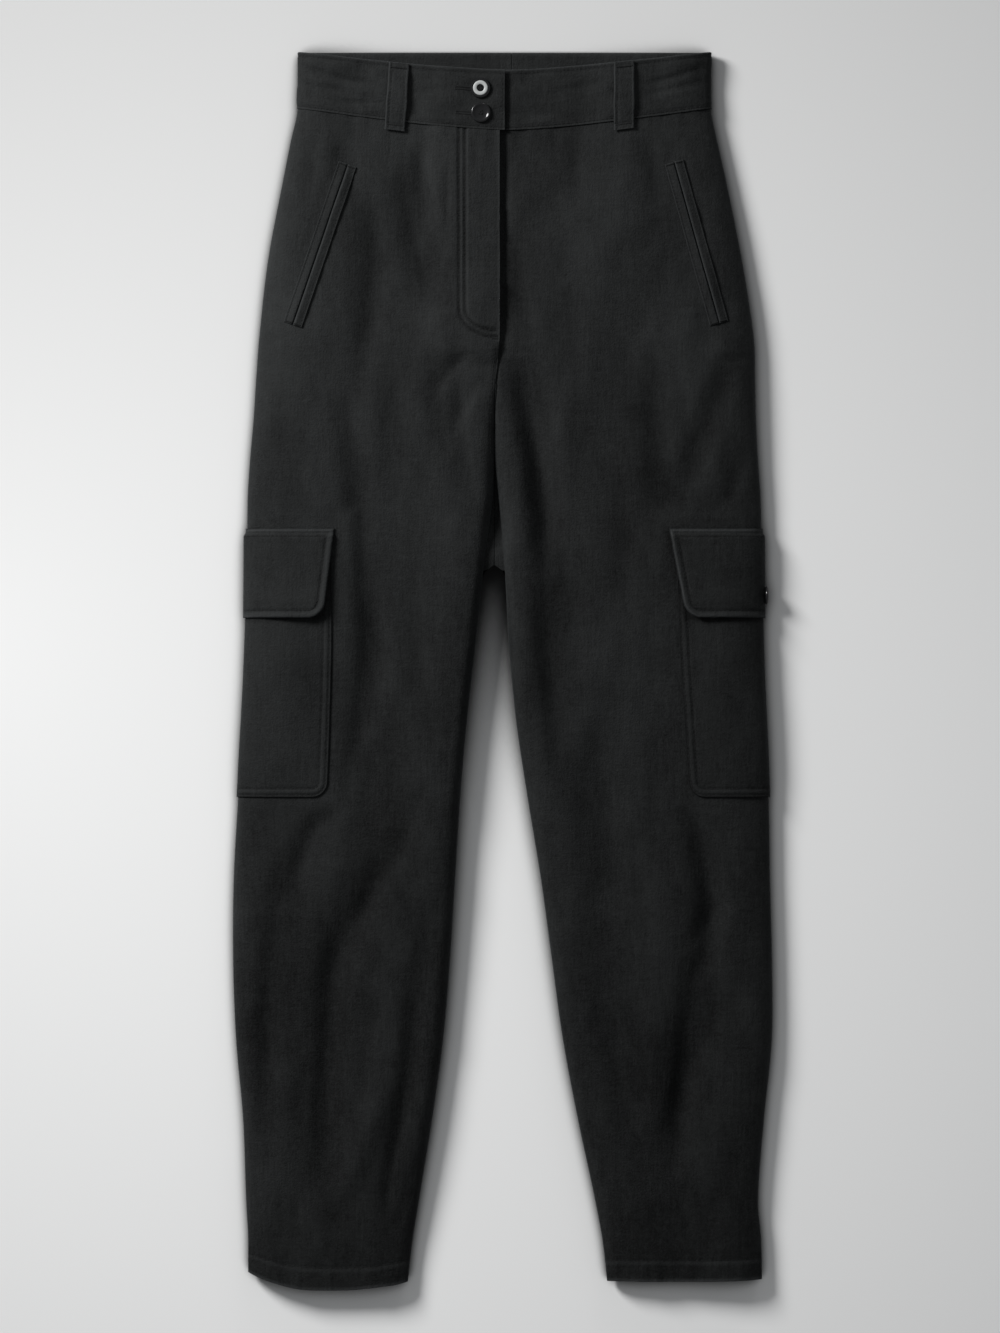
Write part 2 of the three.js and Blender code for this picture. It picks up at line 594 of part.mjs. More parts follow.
function bodyPanels() {
  for (const side of ['right', 'left']) {
    const seam = (rows, i, j) => seamHeight(rows[j], across(side, i, rows[j]).dInner);
    const front = panelThickness(FRONT_ROWS);
    add(
      `front_${side}`,
      wall({
        as: range(COLUMNS),
        bs: FRONT_ROWS,
        surface: frontSurface(side),
        lift: (i, j) => -front(i, j),
        thick: front,
        flip: side === 'left',
        floor: (i, j) => seam(FRONT_ROWS, i, j) + SEAM_GAP / 2,
      }),
    );
    const kinks = UNDER_LIFT[side].slice(1, -1).map((row) => row.y);
    const forkRows = FORK_ROWS.filter((y) => kinks.every((kink) => Math.abs(kink - y) > 2));
    const backRows = stations([...forkRows, ...kinks], BACK_STEP);
    const back = panelThickness(backRows);
    add(
      `back_${side}`,
      wall({
        as: range(COLUMNS),
        bs: backRows,
        surface: backSurface(side),
        lift: (i, j) => -back(i, j),
        thick: back,
        flip: side === 'right',
        ceiling: (i, j) => seam(backRows, i, j) - SEAM_GAP / 2,
      }),
    );
  }
}

// A half of the waistband; its left end lies under the right one at the fly
function waistband(side) {
  const rows = [WAIST_Y + SEAM_GAP / 2, 1006, 1018, 1030, TOP_Y];
  const reach = side === 'right' ? BAND_OVERLAP : BAND_UNDERLAP;
  add(
    `waistband_${side}`,
    wall({
      as: range(COLUMNS * 2 + 1),
      bs: rows,
      surface: bandSurface(side, reach),
      lift: BAND_STAND - BAND_CLOTH,
      thick: BAND_CLOTH,
      flip: side === 'right',
    }),
  );
}

// How far a belt loop's inner face stands off the panels: on the panel it is sewn down, it steps up
// over the band, and on the front it bows a little
const LOOP_ROWS = [
  { y: WAIST_Y - LOOP_TAIL, front: 0.35, back: 0.3 },
  { y: WAIST_Y - 4, front: 0.6, back: 0.5 },
  { y: WAIST_Y - 0.8, front: 1.25, back: 1.2 },
  { y: WAIST_Y + 2, front: 1.5, back: 1.2 },
  { y: WAIST_Y + 9, front: 2.4, back: 1.2 },
  { y: WAIST_Y + 22, front: 3, back: 1.2 },
  { y: WAIST_Y + 34, front: 2.4, back: 1.2 },
  { y: WAIST_Y + 42, front: 1.5, back: 1.2 },
  { y: TOP_Y - 0.6, front: 1.25, back: 1.2 },
];

function beltLoops() {
  for (const loop of LOOPS) {
    add(
      loop.name,
      wall({
        as: [-LOOP_WIDTH / 2, -LOOP_WIDTH / 6, LOOP_WIDTH / 6, LOOP_WIDTH / 2],
        bs: LOOP_ROWS.map((row) => row.y),
        surface: loopSurface(loop),
        lift: (i, j) => LOOP_ROWS[j][loop.face],
        thick: LOOP_CLOTH,
        flip: loop.face === 'back',
      }),
    );
  }
}

// The two lips of each slanted pocket, with the slit between them
function welts(side) {
  const { top, bottom } = WELT_POCKET[side];
  const length = Math.hypot(bottom.x - top.x, bottom.y - top.y);
  const along = { x: (top.x - bottom.x) / length, y: (top.y - bottom.y) / length };
  const surface = (a, b) => hipPoint(bottom.x + along.x * b + along.y * a, bottom.y + along.y * b - along.x * a);
  const inner = SLIT / 2;
  const towards = { front: toCentre[side], side: -toCentre[side] };
  for (const lip of ['front', 'side']) {
    const edges = [inner, inner + WELT_WIDTH / 2, inner + WELT_WIDTH].map((a) => a * towards[lip]);
    add(
      `welt_${side}_${lip}`,
      wall({
        as: edges.sort((p, q) => p - q),
        bs: range(10).map((k) => (length * k) / 10),
        surface,
        lift: SEAM_GAP,
        thick: WELT_CLOTH,
      }),
    );
  }
}

// Distances along the cloth from the side seam: close together round the fold, then evenly to the edge
const FOLD_COLUMNS = [0, 1.3, 2.7, 4.5, 7.5, 12, 19, 30];
const OUTER_COLUMNS = 3;
function pocketColumns(side, backEdge, frontEdge) {
  const last = FOLD_COLUMNS.length - 1;
  const reach = (k, edge) => {
    if (k <= last) return FOLD_COLUMNS[k];
    return THREE.MathUtils.lerp(FOLD_COLUMNS[last], edge, (k - last) / OUTER_COLUMNS);
  };
  const total = last + OUTER_COLUMNS;
  const ring = ringSurface(side);
  return {
    as: range(total * 2).map((k) => k - total),
    surface: (a, y) => {
      const edge = a < 0 ? backEdge(y) : frontEdge(y);
      const k = Math.abs(a);
      const whole = Math.min(Math.floor(k), total - 1);
      const s = THREE.MathUtils.lerp(reach(whole, edge), reach(whole + 1, edge), k - whole);
      return ring(a < 0 ? -s : s, y);
    },
  };
}

// How much a rounded lower corner takes off the edge at this height above the piece's bottom
function corner(above) {
  return POCKET_CORNER * (1 - rounded(above, POCKET_CORNER));
}

const CORNER_ROWS = [0, 0.8, 3.2, 7.2, POCKET_CORNER];

function pocketRows(low, high, extra) {
  const kinks = [...UNDER_LIFT.right.map((row) => row.y), ...extra];
  const rows = [...CORNER_ROWS.map((above) => low + above), high, ...kinks.filter((y) => y < high)];
  return rows
    .filter((y, k) => k < CORNER_ROWS.length || y > low + POCKET_CORNER)
    .sort((p, q) => p - q);
}

function cargoPocket(side) {
  const size = POCKET[side];
  const bagFront = (y) => {
    const t = (y - BAG_LOW_Y) / (BAG_HIGH_Y - BAG_LOW_Y);
    return THREE.MathUtils.lerp(size.bagBottom, size.bagTop, t) - corner(y - BAG_LOW_Y);
  };
  const bagBack = (y) => size.back - corner(y - BAG_LOW_Y);
  add(
    `cargo_bag_${side}`,
    wall({
      ...pocketColumns(side, bagBack, bagFront),
      bs: pocketRows(BAG_LOW_Y, BAG_HIGH_Y, [460, 505]),
      lift: SEAM_GAP,
      thick: PATCH_CLOTH,
      flip: side === 'left',
    }),
  );
  const flapFront = (y) => {
    const t = (y - FLAP_LOW_Y) / (FLAP_HIGH_Y - FLAP_LOW_Y);
    return THREE.MathUtils.lerp(size.flapBottom, size.flapTop, t) - corner(y - FLAP_LOW_Y);
  };
  const flapBack = (y) => size.back + FLAP_PAST_BAG - corner(y - FLAP_LOW_Y);
  const flapRows = pocketRows(FLAP_LOW_Y, FLAP_HIGH_Y, [620, BAG_HIGH_Y + FLAP_STEP]);
  const overBag = SEAM_GAP * 2 + PATCH_CLOTH;
  add(
    `cargo_flap_${side}`,
    wall({
      ...pocketColumns(side, flapBack, flapFront),
      bs: flapRows,
      lift: (i, j) => (flapRows[j] > BAG_HIGH_Y + FLAP_STEP ? SEAM_GAP : overBag),
      thick: PATCH_CLOTH,
      flip: side === 'left',
    }),
  );
}

// A dished button with four thread holes, standing on z = 0
const BUTTON_SEGMENTS = 22;
const BUTTON_BEVEL = 0.8;
const BUTTON_RIM = 2.1; // from the edge to the inner side of the rim
const BUTTON_DISH = 0.3; // depth of the dish, as a share of the height
const BUTTON_HOLES = 4;
const BUTTON_HOLE_RADIUS = 0.9;
const BUTTON_HOLE_RING = 0.26; // how far out the holes are, as a share of the radius
function buttonGeometry(radius, height) {
  const dished = height * (1 - BUTTON_DISH);
  const profile = [
    [0, 0],
    [radius - BUTTON_BEVEL, 0],
    [radius, BUTTON_BEVEL],
    [radius, height - BUTTON_BEVEL],
    [radius - BUTTON_BEVEL, height],
    [radius - BUTTON_RIM, height],
    [radius - BUTTON_RIM - BUTTON_BEVEL, dished],
    [0, dished],
  ].map(([r, z]) => new THREE.Vector2(r, z));
  const disc = new THREE.LatheGeometry(profile, BUTTON_SEGMENTS).rotateX(Math.PI / 2);
  let body = toSolid(disc);
  for (let k = 0; k < BUTTON_HOLES; k += 1) {
    const angle = (2 * Math.PI * (k + 0.5)) / BUTTON_HOLES;
    const out = radius * BUTTON_HOLE_RING;
    const hole = new THREE.CylinderGeometry(BUTTON_HOLE_RADIUS, BUTTON_HOLE_RADIUS, height * 3, 6);
    hole.rotateX(Math.PI / 2).translate(Math.cos(angle) * out, Math.sin(angle) * out, 0);
    body = body.subtract(toSolid(hole));
  }
  return fromSolid(body);
}

function toSolid(geometry) {
  const plain = geometry.clone();
  plain.deleteAttribute('normal');
  plain.deleteAttribute('uv');
  const merged = mergeVertices(plain, 1e-4);
  const mesh = new wasm.Mesh({
    numProp: 3,
    vertProperties: new Float32Array(merged.attributes.position.array),
    triVerts: new Uint32Array(merged.index.array),
  });
  return new wasm.Manifold(mesh);
}

function fromSolid(solid) {
  const mesh = solid.getMesh();
  const geometry = new THREE.BufferGeometry();
  geometry.setAttribute('position', new THREE.Float32BufferAttribute(mesh.vertProperties, 3));
  geometry.setIndex(Array.from(mesh.triVerts));
  geometry.computeVertexNormals();
  return geometry;
}

const RIMMED = { colour: RIM_COLOUR, roughness: 0.3, metalness: 0 };
const PLASTIC = { colour: PLASTIC_COLOUR, roughness: 0.2, metalness: 0 };

function buttons() {
  for (const [name, place] of Object.entries(WAIST_BUTTONS)) {
    const base = hipPoint(place.x, place.y).z + FLY_LIFT + BAND_STAND + SEAM_GAP;
    const disc = buttonGeometry(BUTTON_RADIUS, BUTTON_HEIGHT).translate(place.x, place.y, base);
    add(`button_waist_${name}`, disc, name === 'upper' ? RIMMED : PLASTIC);
  }
  // The right one lies under its flap on the back, the left one stands at the side fold
  const onBack = buttonGeometry(CARGO_BUTTON_RADIUS, CARGO_BUTTON_HEIGHT).rotateX(Math.PI);
  const behind = outerX.right(CARGO_BUTTON_Y.right) + CARGO_BUTTON_BACK;
  onBack.translate(behind, CARGO_BUTTON_Y.right, CARGO_BUTTON_HEIGHT);
  add('button_cargo_right', onBack, PLASTIC);
  const onSide = buttonGeometry(CARGO_BUTTON_RADIUS, CARGO_BUTTON_HEIGHT).rotateY(Math.PI / 2);
  const flapFace = outerX.left(CARGO_BUTTON_Y.left) + SEAM_GAP * 2 + PATCH_CLOTH * 2;
  onSide.translate(flapFace + SEAM_GAP, CARGO_BUTTON_Y.left, CARGO_BUTTON_Z);
  add('button_cargo_left', onSide, PLASTIC);
}

// The closed zip, between the fly and the extension of the left front
function flyZip() {
  const low = FLY_BOTTOM_Y + ZIP_ABOVE_BOTTOM;
  const high = WAIST_Y - dip(WAIST_Y) - ZIP_BELOW_BAND;
  add(
    'fly_zip',
    wall({
      as: range(4).map((k) => ZIP_MID_X + ZIP_WIDTH * (k / 4 - 0.5)),
      bs: range(6).map((k) => low + ((high - low) * k) / 6),
      surface: hipPoint,
      lift: SEAM_GAP,
      thick: ZIP_CLOTH,
    }),
  );
}

bodyPanels();
waistband('right');
waistband('left');
beltLoops();
welts('right');
welts('left');
cargoPocket('right');
cargoPocket('left');
buttons();
flyZip();

// The origin is the middle of the bounding box's bottom face
const box = new THREE.Box3().setFromObject(garment);
const middle = box.getCenter(new THREE.Vector3());
for (const mesh of garment.children) mesh.geometry.translate(-middle.x, -middle.y, -box.min.z);

export default garment;
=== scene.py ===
import math

import bmesh
import bpy
import numpy as np
from mathutils import Matrix, Vector


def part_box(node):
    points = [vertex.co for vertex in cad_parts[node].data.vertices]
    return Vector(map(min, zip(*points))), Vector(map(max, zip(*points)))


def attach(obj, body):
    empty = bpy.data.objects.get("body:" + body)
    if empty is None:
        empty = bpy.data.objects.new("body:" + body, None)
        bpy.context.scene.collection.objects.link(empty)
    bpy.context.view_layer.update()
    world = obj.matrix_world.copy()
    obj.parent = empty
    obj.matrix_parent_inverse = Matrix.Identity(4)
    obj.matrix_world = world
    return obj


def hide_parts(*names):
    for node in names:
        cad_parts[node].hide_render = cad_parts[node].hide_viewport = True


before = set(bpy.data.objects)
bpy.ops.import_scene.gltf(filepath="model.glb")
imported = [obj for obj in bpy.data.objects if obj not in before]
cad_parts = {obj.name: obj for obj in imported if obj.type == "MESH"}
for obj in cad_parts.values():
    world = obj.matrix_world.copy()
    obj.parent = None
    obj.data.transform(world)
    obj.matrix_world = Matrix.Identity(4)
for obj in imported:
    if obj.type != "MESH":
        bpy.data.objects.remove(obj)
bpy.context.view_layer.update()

MM = 0.001

# Main sizes
CLOTH = 1.2
BAND_CLOTH = 2.4
PATCH_CLOTH = 1.2
PATCH_GAP = 0.35
PATCH_RAISE = PATCH_CLOTH - 0.1
PATCH_SHELL = PATCH_CLOTH - 0.15
LOOP_CLOTH = 1.4
WELT_CLOTH = 1.0
SEAM_GAP = 0.3
SEAM_Z = 8
HEM_TURN = 21
HEM_STITCH_Y = HEM_TURN - 1.6
HEM_SHARE = 1.7
WAIST_Y = 994.2
TOP_Y = 1042
WAIST_MID_X = 3.8
WAIST_HALF = 173.5
FORK_Y = 609
ARCH = 9
WAIST_DIP_POWER = 1.4
HEM_POWER = 2.4
FLY_BOTTOM_Y = 799.8
FLY_CURVE = 16
FLY_LIFT = 3
FLY_RISE_X = (-68, -44)
FLY_RISE_BELOW = (22, 4)
BAND_RISE_X = (-74, -28)
FLY_WIDTH = 30
FRONT_ROUND = 40
INNER_ROUND = 32
BACK_ROUND = 14
INNER_RISE_REACH = (6, 90)
VALLEY_LOW_Y = 655
BAND_STAND = 0.9
BAND_OVERLAP = 4.2
BAND_UNDERLAP = 31
BAND_STITCH_ROWS = (WAIST_Y + 2.6, TOP_Y - 3)
SIDES = ("right", "left")
TO_CENTRE = {"right": 1, "left": -1}

# Outline in plan: y, outer fold, inner fold or edge of the valley
OUTLINE = {
    "right": [
        (0, -211.9, -77.4), (43, -212, -73.2), (77, -213.6, -68.1), (144, -216.1, -57.2),
        (211, -222, -47.9), (278, -224.5, -42.1), (346, -224, -37.8), (413, -220.4, -33.6),
        (480, -216.4, -27.8), (548, -213.4, -20.2), (609, -212.6, -13.5), (665, -212.3, -5.9),
        (699, -210.3, -4.6), (733, -207.3, -4.6), (766, -205.2, -3.4), (800, -202.7, -0.4),
        (867, -195.1, 0), (934, -182.5, 0), (968, -175.8, 0), (994, -170.2, 0), (1042, -169.5, 0),
    ],
    "left": [
        (0, 220.5, 90), (43, 219.5, 85.8), (77, 217, 79.9), (144, 222, 65.6),
        (211, 228.6, 53), (278, 228.8, 43.7), (346, 227.1, 34.5), (413, 226, 23.5),
        (480, 223, 13.5), (548, 220.4, 7.2), (609, 219.8, 3.8), (665, 219.3, -1.4),
        (699, 217, -4.6), (733, 215.3, -4.6), (766, 214.5, -3.4), (800, 213.6, -0.4),
        (867, 203.5, 0), (934, 190.1, 0), (968, 182.5, 0), (994, 177.4, 0), (1042, 177.2, 0),
    ],
}

# Along the length: y, centre seam's x, shift of the back's seam, crown of the front, fill of the
# valley on the front and on the back, dip of the waist
LENGTHWISE = [
    (0, -4.6, 0, 8.5, 0, 0, 0), (100, -4.6, 0, 10, 0, 0, 0), (300, -4.6, 0, 11.5, 0, 0, 0),
    (500, -4.6, 0, 12.5, 0, 0, 0), (609, -4.6, 0, 13, 0, 0, 0), (617, -4.6, 0, 13, 0.14, 0.3, 0),
    (640, -4.6, 0, 13, 0.15, 0.7, 0), (680, -4.6, 0, 12.5, 0.17, 1, 0),
    (725, -4.6, 0, 12.3, 0.5, 1, 0), (770, -3.2, 0, 12, 1, 1, 1), (800, -0.4, 0.5, 11.8, 1, 1, 2.5),
    (860, 0, 2, 11.4, 1, 1, 7), (930, 0, 6, 11, 1, 1, 14), (994, 0, 9, 11, 1, 1, 19),
    (1042, 0, 10, 11, 1, 1, 16),
]

# Lift of the back by the pocket, its button and the loops beneath it: y, beside the seam
POCKET_LIFT = {
    "right": [
        (0, 0), (395, 0), (413, 1.5), (552, 1.5), (563, 3), (568, 3), (578, 5.5), (596, 5.5),
        (607, 3), (644, 3), (668, 0), (1042, 0),
    ],
    "left": [(0, 0), (395, 0), (413, 1.5), (552, 1.5), (563, 3), (644, 3), (668, 0), (1042, 0)],
}
WAIST_LIFT = [(0, 0), (968, 0), (984, 2.7), (1042, 2.7)]
POCKET_LIFT_REACH = (88, 126)

# Lift of the inner folds towards the fork: y, rise
INNER_RISE = [
    (0, 0), (22, 0), (160, 1.8), (330, 4.4), (430, 6.6), (520, 8.8), (600, 9.5), (618, 9.5),
    (640, 8), (690, 4), (760, 0),
]

# Front and back hem line of each leg at the outer edge, in the middle and at the inner edge
HEM = {"right": (16, 0.8, 8.4, 14), "left": (10, 8.4, 8.4, 12)}
HEM_FADE = 70

# Main folds of the front: y0, y1, x0, x in the middle, x1, width, depth
FOLD_POWER = 0.8
FOLDS = [
    (964, 825, -80, -61, -42, 11, -2.6),
    (926, 724, -108, -109, -130, 13, -2.2),
    (750, 581, -132, -118, -122, 12, -2.6),
    (632, 463, -118, -108, -116, 12, -3.2),
    (490, 320, -114, -148, -177, 14, -3),
    (355, 90, -184, -195, -194, 10, -2.6),
    (352, 80, -128, -143, -145, 13, -4.8),
    (390, 240, -82, -118, -150, 12, -2.2),
    (190, 80, -88, -110, -128, 12, 2.2),
    (330, 50, -58, -76, -94, 9, -2.8),
    (785, 600, 15, 31, 39, 11, -5),
    (625, 410, 38, 42, 57, 11, -3.8),
    (800, 640, 130, 132, 136, 13, -2.4),
    (790, 650, 196, 172, 146, 12, -2.2),
    (410, 258, 154, 176, 166, 11, -4.6),
    (285, 96, 167, 155, 146, 12, -3.8),
    (485, 320, 80, 85, 102, 13, -2.2),
    (340, 120, 118, 124, 130, 16, 2),
]

# Smaller creases of the front, from one end to the other: x, y, x, y, bow, width, depth
CREASES = [
    (-150, 985, -162, 905, 3, 5, -0.9), (-140, 978, -120, 900, -5, 7, -0.9),
    (-118, 930, -96, 862, -4, 6, -0.8), (-60, 985, -66, 930, 2, 4, -0.8),
    (-90, 800, -74, 690, 5, 8, -1.1), (-60, 790, -48, 690, -4, 7, -1.0),
    (-22, 792, -60, 742, 5, 5, -1.0), (-12, 770, -44, 700, 6, 6, -1.1),
    (14, 905, 26, 800, 4, 7, -1.4), (60, 985, 64, 918, -3, 5, -0.9),
    (120, 980, 132, 915, -4, 6, -0.8), (60, 850, 74, 700, 5, 9, -1.0),
    (96, 700, 104, 560, -5, 9, -1.2), (150, 780, 166, 700, 4, 6, -0.9),
    (205, 700, 180, 652, -4, 5, -1.0), (-70, 640, -62, 470, 6, 9, -1.3),
    (-170, 690, -150, 655, 3, 5, -0.7), (-150, 400, -172, 330, 4, 6, -1.0),
    (-96, 360, -130, 300, -4, 6, -1.2), (-60, 430, -84, 350, 5, 6, -0.9),
    (-100, 250, -118, 150, 4, 7, -1.1), (-165, 250, -172, 120, -4, 7, -1.0),
    (-80, 150, -96, 60, 3, 5, -1.2), (-70, 120, -86, 50, -3, 4, -0.9),
    (60, 470, 74, 380, -4, 7, -1.1), (110, 400, 130, 300, 5, 8, -1.1),
    (190, 400, 206, 320, 3, 6, -0.9), (140, 240, 128, 150, -4, 7, -1.1),
    (184, 220, 176, 110, 4, 7, -1.0), (90, 260, 100, 150, -3, 6, -0.8),
    (196, 330, 158, 286, 4, 6, -1.2), (100, 90, 112, 40, 2, 4, -0.7),
    (150, 80, 160, 36, -2, 4, -0.7), (-170, 90, -166, 40, 2, 4, -0.7),
    (24, 800, 48, 600, -6, 10, -2.2), (48, 620, 66, 470, -4, 9, -1.4),
    (188, 250, 150, 130, 6, 9, -1.6), (-196, 260, -188, 110, 3, 7, -1.0),
    (-70, 975, -55, 905, 0, 4.5, -1.8), (-84, 950, -48, 820, 5, 8, -2.4),
    (-43, 968, -44, 880, 1, 3, -0.9), (-36, 780, -14, 640, 6, 8, -1.6),
]
# The cloth's folds and creases are deeper than the tables' by these shares, on the shins and above
FOLD_SHARE = (1.4, 1.9)
CREASE_SHARE = (1.3, 1.6)
SHARE_Y = (480, 640)
# Painted shade: the cloth is painted darker in its folds, down to a depth; its low wrinkles are paler, as
# worn, on their ridges and painted darker in their hollows: tone for each mm
PAINTED_HOLLOW_SHADE = (0.13, 0.27)
HOLLOW_DEPTH = 2.2
WRINKLE_WEAR_AND_SHADE = 0.07

# Cloth that never lies quite flat: wavelength across and along the leg, and height
UNEVEN = [(48, 125, 1.8), (22, 54, 1.0), (10, 22, 0.3)]

# Cargo pockets along the cloth from the side seam: bag at top and bottom, flap at top and bottom
POCKET = {"right": (75, 79, 78, 69), "left": (76, 71, 82, 68)}
POCKET_BACK = 68
FLAP_PAST_BAG = 4
BAG_LOW_Y, BAG_HIGH_Y = 415.4, 634
FLAP_LOW_Y, FLAP_HIGH_Y = 566, 641
POCKET_CORNER = 13
FLAP_STAND = 3.4
FOLD_FREE = (82, 100)
FOLD_FREE_PAST = 4
RING_REACH = 100

# Slanted pockets: x and y of the slit's top and bottom
WELT_POCKET = {"right": (-128, 947, -174, 812), "left": (146, 949, 184, 813)}
WELT_WIDTH = 7.6
WELT_STITCH = WELT_WIDTH - 1.5
SLIT = 0.8

LOOP_TAIL = 8
LOOP_STITCH_X = 5.8
LOOP_TACK_ROWS = (WAIST_Y - 3.4, TOP_Y - 4.5)
LOOPS = {
    "loop_front_right": ("front", -84.5, -88.5),
    "loop_front_left": ("front", 104, 104),
    "loop_back_right": ("back", -94, -94),
    "loop_back_centre": ("back", 10, 10),
    "loop_back_left": ("back", 106, 106),
}
# Stand-off of a loop's inner face along its length: height above the waist seam, front, back
LOOP_STAND = [
    (-8, 0.35, 0.3), (-4, 0.6, 0.5), (-0.8, 1.35, 1.2), (2, 1.6, 1.2), (9, 2.5, 1.2),
    (22, 3.1, 1.2), (34, 2.5, 1.2), (42, 1.6, 1.2), (47.2, 1.35, 1.2),
]

BUTTONS = {"button_waist_upper": (-16.4, 1010.4), "button_waist_lower": (-16, 989.8)}

# J-shaped stitching of the fly: x of the straight run, and x where the curve meets the edge
FLY_STITCHES = ((-34.5, -3.0, 24.5), (-29.6, -4.5, 18.6))
FLY_CURVE_Y = 826


def curve(rows, column):
    """Smooth curve through a table's column, with slopes from the neighbouring rows."""
    ys = np.array([row[0] for row in rows], float)
    values = np.array([row[column] for row in rows], float)
    before = np.maximum(np.arange(len(ys)) - 1, 0)
    after = np.minimum(np.arange(len(ys)) + 1, len(ys) - 1)
    slopes = (values[after] - values[before]) / (ys[after] - ys[before])

    def at(y):
        i = np.searchsorted(ys[1:-1], y, side="left")
        h = ys[i + 1] - ys[i]
        t = np.clip((y - ys[i]) / h, 0, 1)
        u = 1 - t
        ends = values[i] * (1 + 2 * t) * u * u + values[i + 1] * t * t * (3 - 2 * t)
        return ends + h * t * u * (slopes[i] * u - slopes[i + 1] * t)

    return at


def steps(rows, column):
    """Straight lines through a table's column."""
    ys = [row[0] for row in rows]
    values = [row[column] for row in rows]
    return lambda y: np.interp(y, ys, values)


outer_x = {side: curve(OUTLINE[side], 1) for side in SIDES}
inner_x = {side: curve(OUTLINE[side], 2) for side in SIDES}
centre_x = curve(LENGTHWISE, 1)
back_shift = curve(LENGTHWISE, 2)
crown = curve(LENGTHWISE, 3)
front_fill = steps(LENGTHWISE, 4)
back_fill = steps(LENGTHWISE, 5)
dip = curve(LENGTHWISE, 6)
pocket_lift = {side: steps(POCKET_LIFT[side], 1) for side in SIDES}
waist_lift = steps(WAIST_LIFT, 1)
inner_rise = steps(INNER_RISE, 1)


def rounded(distance, reach):
    """Quarter circle from 0 at an edge to 1 from reach on."""
    t = np.clip(1 - distance / reach, 0, 1)
    return np.sqrt(1 - t * t)


def rolled(distance, reach):
    """1 at an edge and 0 from reach on: how far the cloth rolls away towards the edge."""
    return 1 - rounded(distance, reach)


def fade(value, start, end):
    """Soft step from 0 at start to 1 at end."""
    t = np.clip((value - start) / (end - start), 0, 1)
    return t * t * (3 - 2 * t)


def bell(offset, width):
    """1 in the middle, and next to nothing at twice the width from it."""
    return np.exp(-((offset / width) ** 2))


def lattice(i, j, seed):
    """A fixed random number from -1 to 1 for each whole place."""
    h = (i * 374761393 + j * 668265263 + seed * 974634777) & 0xFFFFFFFF
    h = ((h ^ (h >> 13)) * 1274126177) & 0xFFFFFFFF
    return ((h ^ (h >> 16)) & 0xFFFF) / 32767.5 - 1


def noise(x, y, seed):
    """Smooth noise from -1 to 1, with about one bump for each unit."""
    x, y = np.broadcast_arrays(np.asarray(x, float), np.asarray(y, float))
    i, j = np.floor(x).astype(np.int64), np.floor(y).astype(np.int64)
    tx, ty = x - i, y - j
    tx = tx * tx * tx * (tx * (6 * tx - 15) + 10)
    ty = ty * ty * ty * (ty * (6 * ty - 15) + 10)
    low = lattice(i, j, seed) * (1 - tx) + lattice(i + 1, j, seed) * tx
    high = lattice(i, j + 1, seed) * (1 - tx) + lattice(i + 1, j + 1, seed) * tx
    return low * (1 - ty) + high * ty


def groove(distance, depth=0.45, width=1.1):
    """Dent that a row of stitches pulls into the cloth."""
    return -depth * bell(distance, width)


def waist_dip(x, y):
    t = np.minimum(np.abs(x - WAIST_MID_X) / WAIST_HALF, 1)
    return dip(y) * (1 - t**WAIST_DIP_POWER)


def row_of(x, y):
    """Row of the front at a place in plan, with the waist's dip undone."""
    row = y
    for _ in range(6):
        row = y + waist_dip(x, row)
    return row


def fold_height(x, y):
    """Heights of the main folds, each along a curve through its three places."""
    total = np.zeros(np.broadcast(x, y).shape)
    for y0, y1, x0, x_middle, x1, width, depth in FOLDS:
        t = np.clip((y - y0) / (y1 - y0), 0, 1)
        u = 1 - t
        middle = 2 * x_middle - (x0 + x1) / 2
        line = x0 * u * u + middle * 2 * t * u + x1 * t * t
        total = total + depth * np.sin(np.pi * t) ** FOLD_POWER * bell(x - line, width)
    return total


def crease_height(x, y, creases):
    """Heights of small creases, which are softer on one side."""
    total = np.zeros(np.broadcast(x, y).shape)
    for x0, y0, x1, y1, bow, width, depth in creases:
        length = math.hypot(x1 - x0, y1 - y0)
        ux, uy = (x1 - x0) / length, (y1 - y0) / length
        t = np.clip(((x - x0) * ux + (y - y0) * uy) / length, 0, 1)
        off = (x - x0) * uy - (y - y0) * ux - bow * 4 * t * (1 - t)
        soft = np.where(off > 0, width * 1.6, width * 0.8)
        total = total + depth * np.sin(np.pi * t) ** FOLD_POWER * bell(off, soft)
    return total


def uneven(x, y, seed):
    """Low wrinkles that run mostly along the legs."""
    bent = x + 9 * noise(x / 70, y / 60, seed + 7)
    total = 0
    for k, (across, along, height) in enumerate(UNEVEN):
        total = total + height * noise(bent / across, y / along, seed + k)
    return total


def fold_share(y, d_outer):
    """Share of the folds that is left beside and under a cargo pocket."""
    beside = fade(d_outer, *FOLD_FREE)
    margin = FOLD_FREE[1] - FOLD_FREE[0]
    below = fade(BAG_LOW_Y - FOLD_FREE_PAST - y, 0, margin)
    above = fade(y - FLAP_HIGH_Y - FOLD_FREE_PAST, 0, margin)
    return np.maximum(np.maximum(beside, below), above)


def seam_height(y, d_inner):
    """Height at which front and back meet: it rises towards the fork along the inner folds."""
    start, end = INNER_RISE_REACH
    near = (1 - np.clip((d_inner - start) / (end - start), 0, 1)) ** 2
    joined = fade(y, FORK_Y, VALLEY_LOW_Y)
    valley = 1 + (rounded(d_inner, BACK_ROUND) - 1) * joined
    return SEAM_Z + inner_rise(y) * near * valley


